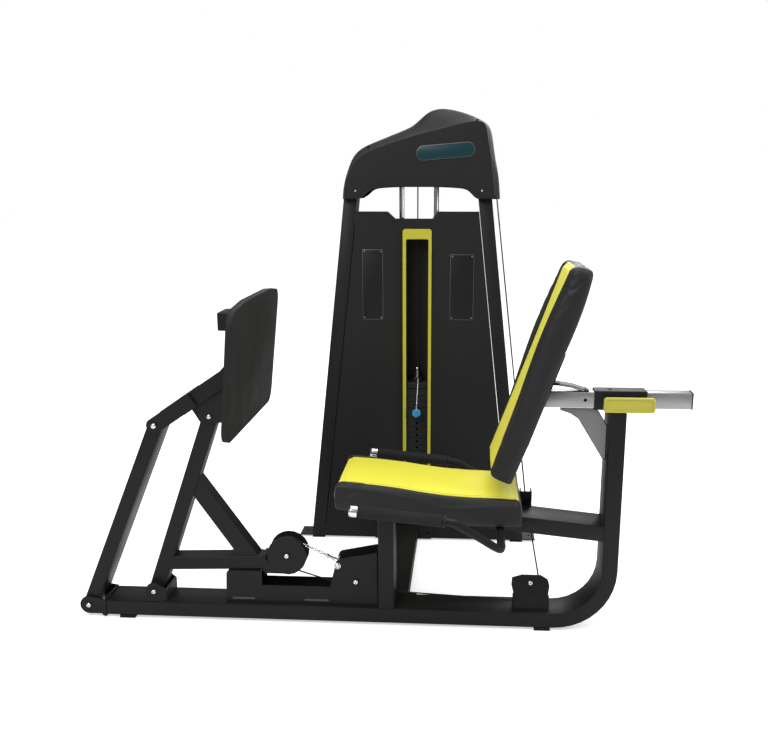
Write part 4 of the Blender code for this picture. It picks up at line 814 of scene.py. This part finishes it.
for node, body, radius in (
        ("rear_link_bolt", "frame", 0.008), ("swing_arm_bolt", "frame", 0.008),
        ("carriage_bolt", "rear_strut", 0.009), ("swing_top_bolt", "press_arm", 0.008),
        ("arm_pulley_bolt", "press_arm", 0.0084), ("housing_pulley_bolt", "frame", 0.0084)):
    pivot_bolt(node, body, radius)

# dark discs at the cover's screw holes: painted shade in the holes
bm = bmesh.new()
well = [(0.005, 0.0006), (0.0058, 0.0), (0.0058, -0.004)]
for centre in ((-0.082, 0.6865, 1.531), (0.3145, 0.665, 1.62)):
    add_turned(bm, well, at(*centre), (0, -1, 0.35), 20)
piece("cover_screw_wells", bm, "cap_black", "frame", 40, finish="bore_painted_shade")
bm = bmesh.new()
for x in (-0.128, 0.336):
    add_socket_head(bm, at(x, 0.6552, 1.374), 0.0036, 0.0022)
piece("cover_screws", bm, "zinc", "frame", 35)

# ---------------------------------------------------------------- cables
ARM_R, HOUSING_R, FLOOR_R, TOP_R, CABLE_R = 0.05, 0.042, 0.0345, 0.04, 0.0025
arm_wheel, housing_wheel, floor_wheel, inner_wheel, outer_wheel = (
    Vector(joints[word + "_wheel_turn"]["pos_m"]) for word in ("arm", "housing", "floor", "inner", "outer"))
anchor_low, anchor_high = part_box("cable_anchor")
ANCHOR = at(-0.117, 0.0, 0.197)
EAST, TOP = Vector((1, 0, 0)), Vector((0, 0, 1))


def wrap(centre, up, radius, start, end, steps):
    """Points round a wheel, from the +X side towards up, angles in degrees."""
    angles = [math.radians(start + (end - start) * k / steps) for k in range(steps + 1)]
    return [centre + EAST * (radius * math.cos(a)) + up * (radius * math.sin(a)) for a in angles]


def leaned(axis):
    """The direction in a wheel's own plane that points most upwards."""
    axis = Vector(axis).normalized()
    return axis.cross(EAST).normalized() * (1 if axis.cross(EAST).z > 0 else -1)


def straight(first, last, count):
    return [first.lerp(last, k / count) for k in range(count + 1)]


to_anchor = math.degrees(math.atan2(ANCHOR.z - arm_wheel.z, ANCHOR.x - arm_wheel.x))
leave_top = to_anchor + math.degrees(math.acos(ARM_R / math.dist(ANCHOR, arm_wheel)))
between = math.degrees(math.atan2(housing_wheel.z - arm_wheel.z, housing_wheel.x - arm_wheel.x))
leave_low = between - 90 - math.degrees(math.asin((ARM_R - HOUSING_R) / math.dist(housing_wheel, arm_wheel)))
upper_arm = wrap(arm_wheel, TOP, ARM_R, leave_top, leave_top, 1)[0]
lower_arm = wrap(arm_wheel, TOP, ARM_R, leave_low, leave_low, 1)[0]
lower_house = wrap(housing_wheel, TOP, HOUSING_R, leave_low, leave_low, 1)[0]


def follow(obj):
    """Bakes the strand's placement into its mesh, where it stays fixed."""
    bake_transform(obj)
def cable(name, path, body, replaced=(), closed=False):
    return piece(name, built(add_tube, path, CABLE_R, 10, closed), "cable_black", body, 60, replaced)


cable("cable_round_arm_pulley", wrap(arm_wheel, TOP, ARM_R, 0, 352, 44), "press_arm", closed=True)
follow(cable("cable_strand_low", straight(lower_house, lower_arm, 30), None))

# the upper strand: cable off the pulley, then a short chain, then a fork on the anchor bolt
strand = (upper_arm - ANCHOR).normalized()
strand_up = REAR.cross(strand)
CHAIN_NEAR, CHAIN_FAR, LINKS = 0.052, 0.128, 7
path = straight(ANCHOR + strand * CHAIN_FAR, upper_arm, 14)
follow(cable("cable_strand_high", path, None))
bm = bmesh.new()
pitch = (CHAIN_FAR - CHAIN_NEAR) / (LINKS - 0.35)
for k in range(LINKS):
    centre = ANCHOR + strand * (CHAIN_NEAR + pitch * (k + 0.33))
    lean = math.radians(45 if k % 2 else -45)
    wide = REAR * math.cos(lean) + strand_up * math.sin(lean)
    loop = []
    for step in range(20):
        angle = 2 * math.pi * step / 20
        reach = pitch * 0.3 * max(-1, min(1, math.cos(angle) * 3)) + 0.0042 * math.cos(angle)
        loop.append(centre + strand * reach + wide * (0.0042 * math.sin(angle)))
    add_tube(bm, loop, 0.00135, 8, closed=True, hint=REAR.cross(wide) + strand)
follow(piece("cable_chain", bm, "bolt_chrome", None, 60))
bm = built(add_turned, [
    (0.005, 0.012), (0.0062, 0.014), (0.0062, 0.02), (0.0048, 0.021), (0.0048, 0.038),
    (0.0066, 0.0385), (0.0066, 0.0455), (0.004, 0.0465), (0.004, 0.053), (0.0, 0.054)], ANCHOR, strand, 24)
for side in (-1, 1):
    arm = [ANCHOR + strand * along + REAR * (side * across)
           for along, across in ((0.0165, 0.004), (0.01, 0.0098), (-0.002, 0.0104))]
    add_tube(bm, arm, [0.003, 0.0032, 0.0034], 10)
follow(piece("cable_fork", bm, "bolt_chrome", None, 35))
near, far = (Vector((ANCHOR.x, y, ANCHOR.z)) for y in (anchor_low.y + 0.0077, anchor_high.y - 0.0077))
bm = built(add_rod, 0.0066, far.y - near.y, near, REAR, 24)
add_turned(bm, [(0.0104, 0.0015), (0.011, 0.0008), (0.011, 0.0)], near, FRONT)
add_socket_head(bm, near + FRONT * 0.0015, 0.0084, 0.0056)
add_hex_nut(bm, far, 0.011, 0.006)
piece("cable_anchor_bolt", bm, "bolt_chrome", "frame", 32, ("cable_anchor",))

floor_up = leaned(joints["floor_wheel_turn"]["axis"])
outer_up = leaned(joints["outer_wheel_turn"]["axis"])
floor_axle = Vector(joints["floor_wheel_turn"]["axis"]).normalized()
axle = both_ways([(0.008, 0.0185), (0.0088, 0.0163), (0.0078, 0.0163)])
piece("floor_pulley_axle", built(add_turned, axle, floor_wheel, floor_axle, 24), "bolt_chrome", "frame", 35,
      ("floor_pulley_bolt",), "powder_black")
hood_bolt = at(0.508, 0.0116, 0.1342) - floor_axle * 0.016
bm = built(add_socket_head, hood_bolt, 0.0078, 0.0052, -floor_axle)
add_rod(bm, 0.005, 0.004, hood_bolt, floor_axle, 16)
piece("floor_hood_bolt", bm, "bolt_chrome", "frame", 32)
guide_point = at(0.489, 0.085, 0.403)
outer_right = outer_wheel + EAST * TOP_R
FITTING_SHARE, FITTING_END = 0.3, 0.0155
fitting_at = guide_point.lerp(outer_right, FITTING_SHARE)
span = (outer_right - guide_point).normalized()
path = wrap(housing_wheel, TOP, HOUSING_R, leave_low, -90, 8)
path += straight(path[-1], floor_wheel - floor_up * (FLOOR_R + GAP), 4)[1:-1]
path += wrap(floor_wheel, floor_up, FLOOR_R + GAP, -90, 0, 18)
bend = [path[-1].lerp(guide_point, share) for share in (0.4, 0.8, 0.93)]
onward = [guide_point.lerp(fitting_at, share) for share in (0.06, 0.2, 0.6)]
path += bend + [(bend[-1] + guide_point * 2 + onward[0]) / 4] + onward + [fitting_at - span * FITTING_END]
cable("cable_lower_run", path, "frame", ("press_cable",))
path = [fitting_at + span * FITTING_END, fitting_at.lerp(outer_right, 0.5)]
path += wrap(outer_wheel, outer_up, TOP_R, 0, 90, 18) + wrap(inner_wheel, TOP, TOP_R, 90, 180, 18)
cable("cable_upper_run", path, "frame", ("tower_cable",))
fitting = both_ways([(0.0034, 0.0195), (0.004, 0.015), (0.0058, 0.014), (0.0064, 0.012)],
                    [(0.0064, 0.002), (0.0056, 0.003), (0.0056, 0.005), (0.0064, 0.006)])
bm = built(add_turned, fitting, fitting_at, span, 28)
piece("cable_fitting", bm, "zinc", "frame", 35, ("cable_adjuster",))

cable_low, cable_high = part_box("stack_cable")
hang = Vector(((cable_low.x + cable_high.x) / 2, STACK_Y, 0))
path = straight(hang + TOP * (cable_low.z - 0.001), hang + TOP * cable_high.z, 24)
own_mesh(cable("cable_over_stack", path, "frame", ("stack_cable",)))

# ---------------------------------------------------------------- weight stack
pin_low, pin_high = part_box("selector_pin")
pin_at = Vector(((pin_low.x + pin_high.x) / 2, pin_high.y - 0.0005, (pin_low.z + pin_high.z) / 2))
bm = built(add_turned, [
    (0.0052, 0.0), (0.0052, 0.0725), (0.006, 0.073), (0.0062, 0.0745), (0.015, 0.076),
    (0.017, 0.0775), (0.0172, 0.085), (0.016, 0.088), (0.012, 0.09), (0.0105, 0.0885), (0.0, 0.088)],
    pin_at, FRONT, 30)
for vertex in bm.verts:
    across = Vector((vertex.co.x - pin_at.x, 0, vertex.co.z - pin_at.z))
    if across.length > 0.0155:
        lobes = 1 - 0.07 * (0.5 + 0.5 * math.cos(6 * math.atan2(across.z, across.x)))
        vertex.co.x, vertex.co.z = pin_at.x + across.x * lobes, pin_at.z + across.z * lobes
piece("selector_knob", bm, "pin_blue", "weight_pin", 40, ("selector_pin",))
knob_face = pin_at.y - 0.086
cord_top = Vector((pin_at.x + 0.004, stack_low.y + 0.006, stack_high.z + 0.004))
cord = [cord_top + Vector(step) for step in ((-0.002, 0.012, 0.004), (0, 0, 0), (0.0005, -0.0085, -0.004),
                                             (0.0005, -0.0105, -0.016))]
low_end = Vector((pin_at.x, knob_face - 0.001, pin_at.z + 0.013))
for share in (0.25, 0.5, 0.75, 0.92):
    cord.append(cord[3].lerp(low_end, share) + FRONT * (0.004 * math.sin(math.pi * share)))
cord += [low_end, low_end + Vector((0, 0.0035, -0.007))]
bm = built(add_tube, soften(resample(cord, 60), 6), 0.0016, 8)
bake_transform(piece("selector_cord", bm, "zinc", None, 60))

# ---------------------------------------------------------------- backrest adjuster
lever_low, lever_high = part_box("lock_lever")
paddle_x, paddle_z = (lever_low.x + lever_high.x) / 2, (0.727 + 0.7735) / 2
half_x, half_z = (lever_high.x - lever_low.x) / 2, 0.0465 / 2
outline = rounded_outline(half_x, half_z, 0.01, 8)
rings = []
for inset, depth in ((0, 0.012), (0, 0.004), (0.0004, 0.0018), (0.0014, 0.0005), (0.0026, 0), (0.0052, 0),
                     (0.0062, 0.0006), (0.0068, 0.0022), (0.0072, 0.003)):
    wide, tall = 1 - inset / half_x, 1 - inset / half_z
    rings.append([(paddle_x + x * wide, lever_low.y + depth, paddle_z + z * tall) for x, z in outline])
bm = built(skin, rings)
for z0, z1 in ((0.7612, 0.766), (0.7368, 0.7412)):
    lug = Matrix.Translation(at(0.842, -0.0421, z0))
    add_panel(bm, rounded_outline(0.006, 0.011, 0.004), lug, z1 - z0, 0.0005)
pivot = Vector(joints["lever_pull"]["pos_m"])
add_turned(bm, [(0.0024, 0.0), (0.0024, 0.029), (0.0036, 0.029), (0.0036, 0.031), (0.0, 0.0315)],
           (pivot.x, pivot.y, 0.737), TOP, 20)
piece("lever_paddle", bm, "lever_yellow", "lever", 38, ("lock_lever",))

# ---------------------------------------------------------------- grey skins painted with light, and slot strips
def add_prism(bm, outline, y0, y1):
    """A side outline of (x, z) points, from y0 to y1."""
    skin(bm, [[at(x, y, z) for x, z in outline] for y in (y0, y1)])


# grey skins over the black gusset and backrest strap: painted light where these black plates catch the lamps
gusset = [(0.725, 0.566), (0.725, 0.669), (0.699, 0.7155), (0.6875, 0.725), (0.583, 0.725),
          (0.584, 0.72), (0.613, 0.71), (0.6382, 0.6938), (0.717, 0.5672)]
bm = built(add_prism, gusset, -0.004, -0.0031)
add_prism(bm, gusset, 0.0031, 0.004)
piece("gusset_skin", bm, "powder_black", "frame", 30, finish="gusset_painted_light")
strap = [(0.5735, 0.7995), (0.612, 0.7935), (0.64, 0.7857), (0.649, 0.784), (0.65, 0.7905),
         (0.614, 0.801), (0.5745, 0.807)]
bm = built(add_prism, strap, -0.0206, 0.0206)
piece("strap_skin", bm, "powder_black", "backrest", 30, finish="gusset_painted_light")
bm = bmesh.new()
for x0, x1 in ((-0.468, -0.392), (-0.228, -0.148)):
    add_panel(bm, rounded_outline((x1 - x0) / 2 - 0.0003, 0.0037, 0.0032),
              facing_front((x0 + x1) / 2, -0.0385, 0.074), 0.001, 0.0003)
piece("housing_slot_strips", bm, "powder_black", "frame", 30, finish="slot_grey")

# ---------------------------------------------------------------- weld beads
def weld_bead(name, runs, body, radius=0.0026, pitch=0.0034):
    """Rippled beads along the joints of the frame, all in one piece."""
    bm = bmesh.new()
    for ends in runs:
        run = [at(*end) for end in ends]
        path = resample(run, max(6, int(length_of(run) / pitch) * 4))
        sizes = []
        for k in range(len(path)):
            taper = min(1.0, (k + 1) / 5, (len(path) - k) / 5)
            sizes.append(radius * (0.86 + 0.16 * math.cos(math.pi * k / 2)) * (0.55 + 0.45 * taper))
        add_tube(bm, path, sizes, 8, hint=Vector((0.3, 0.5, 0.8)))
    piece(name, bm, "powder_black", body, 80)


BEAM_HALF = 0.06
POST_FRONT, POST_REAR, UPRIGHT_X = 0.017, 0.067, 0.7262
RAIL_TOP = 0.06
post_top, beam_end = beam_top(POST_REAR), beam_top(UPRIGHT_X)
runs = []
for y in (0.0006 - BEAM_HALF, BEAM_HALF - 0.0006):
    runs.append([(POST_FRONT, y, RAIL_TOP), (POST_REAR, y, RAIL_TOP)])
    runs.append([(POST_REAR, y, post_top - 0.052), (POST_REAR, y, post_top - 0.01)])
    runs.append([(UPRIGHT_X, y, beam_end - 0.05), (UPRIGHT_X, y, beam_end - 0.003)])
for x, z in ((POST_REAR, post_top - 0.052), (UPRIGHT_X, beam_end), (POST_FRONT, RAIL_TOP),
             (POST_REAR, RAIL_TOP)):
    runs.append([(x, 0.004 - BEAM_HALF, z), (x, BEAM_HALF - 0.004, z)])
for y in (-0.0035, 0.0035):
    runs.append([(UPRIGHT_X, y, 0.566), (UPRIGHT_X, y, 0.668)])
weld_bead("frame_welds", runs, "frame")
runs = [[(-0.48, y, 0.215), (-0.372, y, 0.2188)] for y in (-0.0265, 0.0265)]
runs.append([(-0.364, -0.028, 0.2195), (-0.364, 0.028, 0.2195)])
weld_bead("press_arm_welds", runs, "press_arm", 0.0022)

# ---------------------------------------------------------------- floor, camera, light
scene = bpy.context.scene
grid = built(bmesh.ops.create_grid, x_segments=2, y_segments=2, size=30.0)
floor = placed("floor", mesh_of(grid, tidy=False))
floor.location = (0, 0, cad_box[0].z - 0.0002)
shader = Shader("studio_floor")
pale = shader.blend(shader.noise(1.3, 3.0), rgb((0.9, 0.9, 0.9)), rgb((0.93, 0.93, 0.93)))
away = shader.add("ShaderNodeVectorMath", {"operation": "LENGTH"})
shader.put(away.inputs[0], shader.place)
glow = shader.spread(away.outputs["Value"], 1.2, 4.0, 0.52, 0.95)
seen = shader.add("ShaderNodeLightPath").outputs["Is Camera Ray"]
shader.give(shader.main, Base_Color=pale, Roughness=0.75, Specular_IOR_Level=0.2, Emission_Color=(1, 1, 1, 1),
            Emission_Strength=shader.maths("MULTIPLY", glow, seen))
floor.data.materials.append(shader.material)

camera_data = bpy.data.cameras.new("camera")
for setting, value in {"lens": 42.4, "sensor_width": 36.0, "shift_x": -0.0305, "shift_y": 0.0512,
                       "clip_start": 0.05, "clip_end": 100}.items():
    setattr(camera_data, setting, value)
camera = placed("camera", camera_data)
camera.location = (0.2908, -3.0057, 1.3898)
camera.rotation_euler = (math.radians(76.136), 0.0, math.radians(3.822))
scene.camera = camera

world = bpy.data.worlds.new("studio")
world.use_nodes = True
scene.world = world
tree = world.node_tree
ground = tree.nodes["Background"]
sky = tree.nodes.new("ShaderNodeBackground")
for backdrop, strength in ((ground, 0.28), (sky, 1.0)):
    backdrop.inputs["Color"].default_value = (1, 1, 1, 1)
    backdrop.inputs["Strength"].default_value = strength
mixer = tree.nodes.new("ShaderNodeMixShader")
rays = tree.nodes.new("ShaderNodeLightPath")
sources = (rays.outputs["Is Camera Ray"], ground.outputs[0], sky.outputs[0])
for source, socket in zip(sources, mixer.inputs):
    tree.links.new(source, socket)
tree.links.new(mixer.outputs[0], tree.nodes["World Output"].inputs["Surface"])


def area_light(name, place, aim, size, power):
    data = bpy.data.lights.new(name, "AREA")
    data.shape = "RECTANGLE"
    data.size, data.size_y = size
    data.energy = power
    lamp = placed(name, data)
    lamp.location = place
    lamp.rotation_euler = (Vector(aim) - Vector(place)).to_track_quat("-Z", "Y").to_euler()


area_light("key", (-1.6, -3.2, 3.4), (0, 0, 0.7), (2.6, 2.0), 112)
area_light("overhead", (0.3, 0.2, 4.2), (0, 0, 0.6), (3.5, 3.0), 110)
area_light("right_side", (3.6, -1.2, 1.9), (0, 0, 0.8), (1.6, 2.4), 55)
area_light("back", (0.8, 3.6, 2.6), (0, 0, 0.8), (2.8, 2.0), 60)
scene.view_settings.view_transform = "Standard"
scene.view_settings.look = "None"
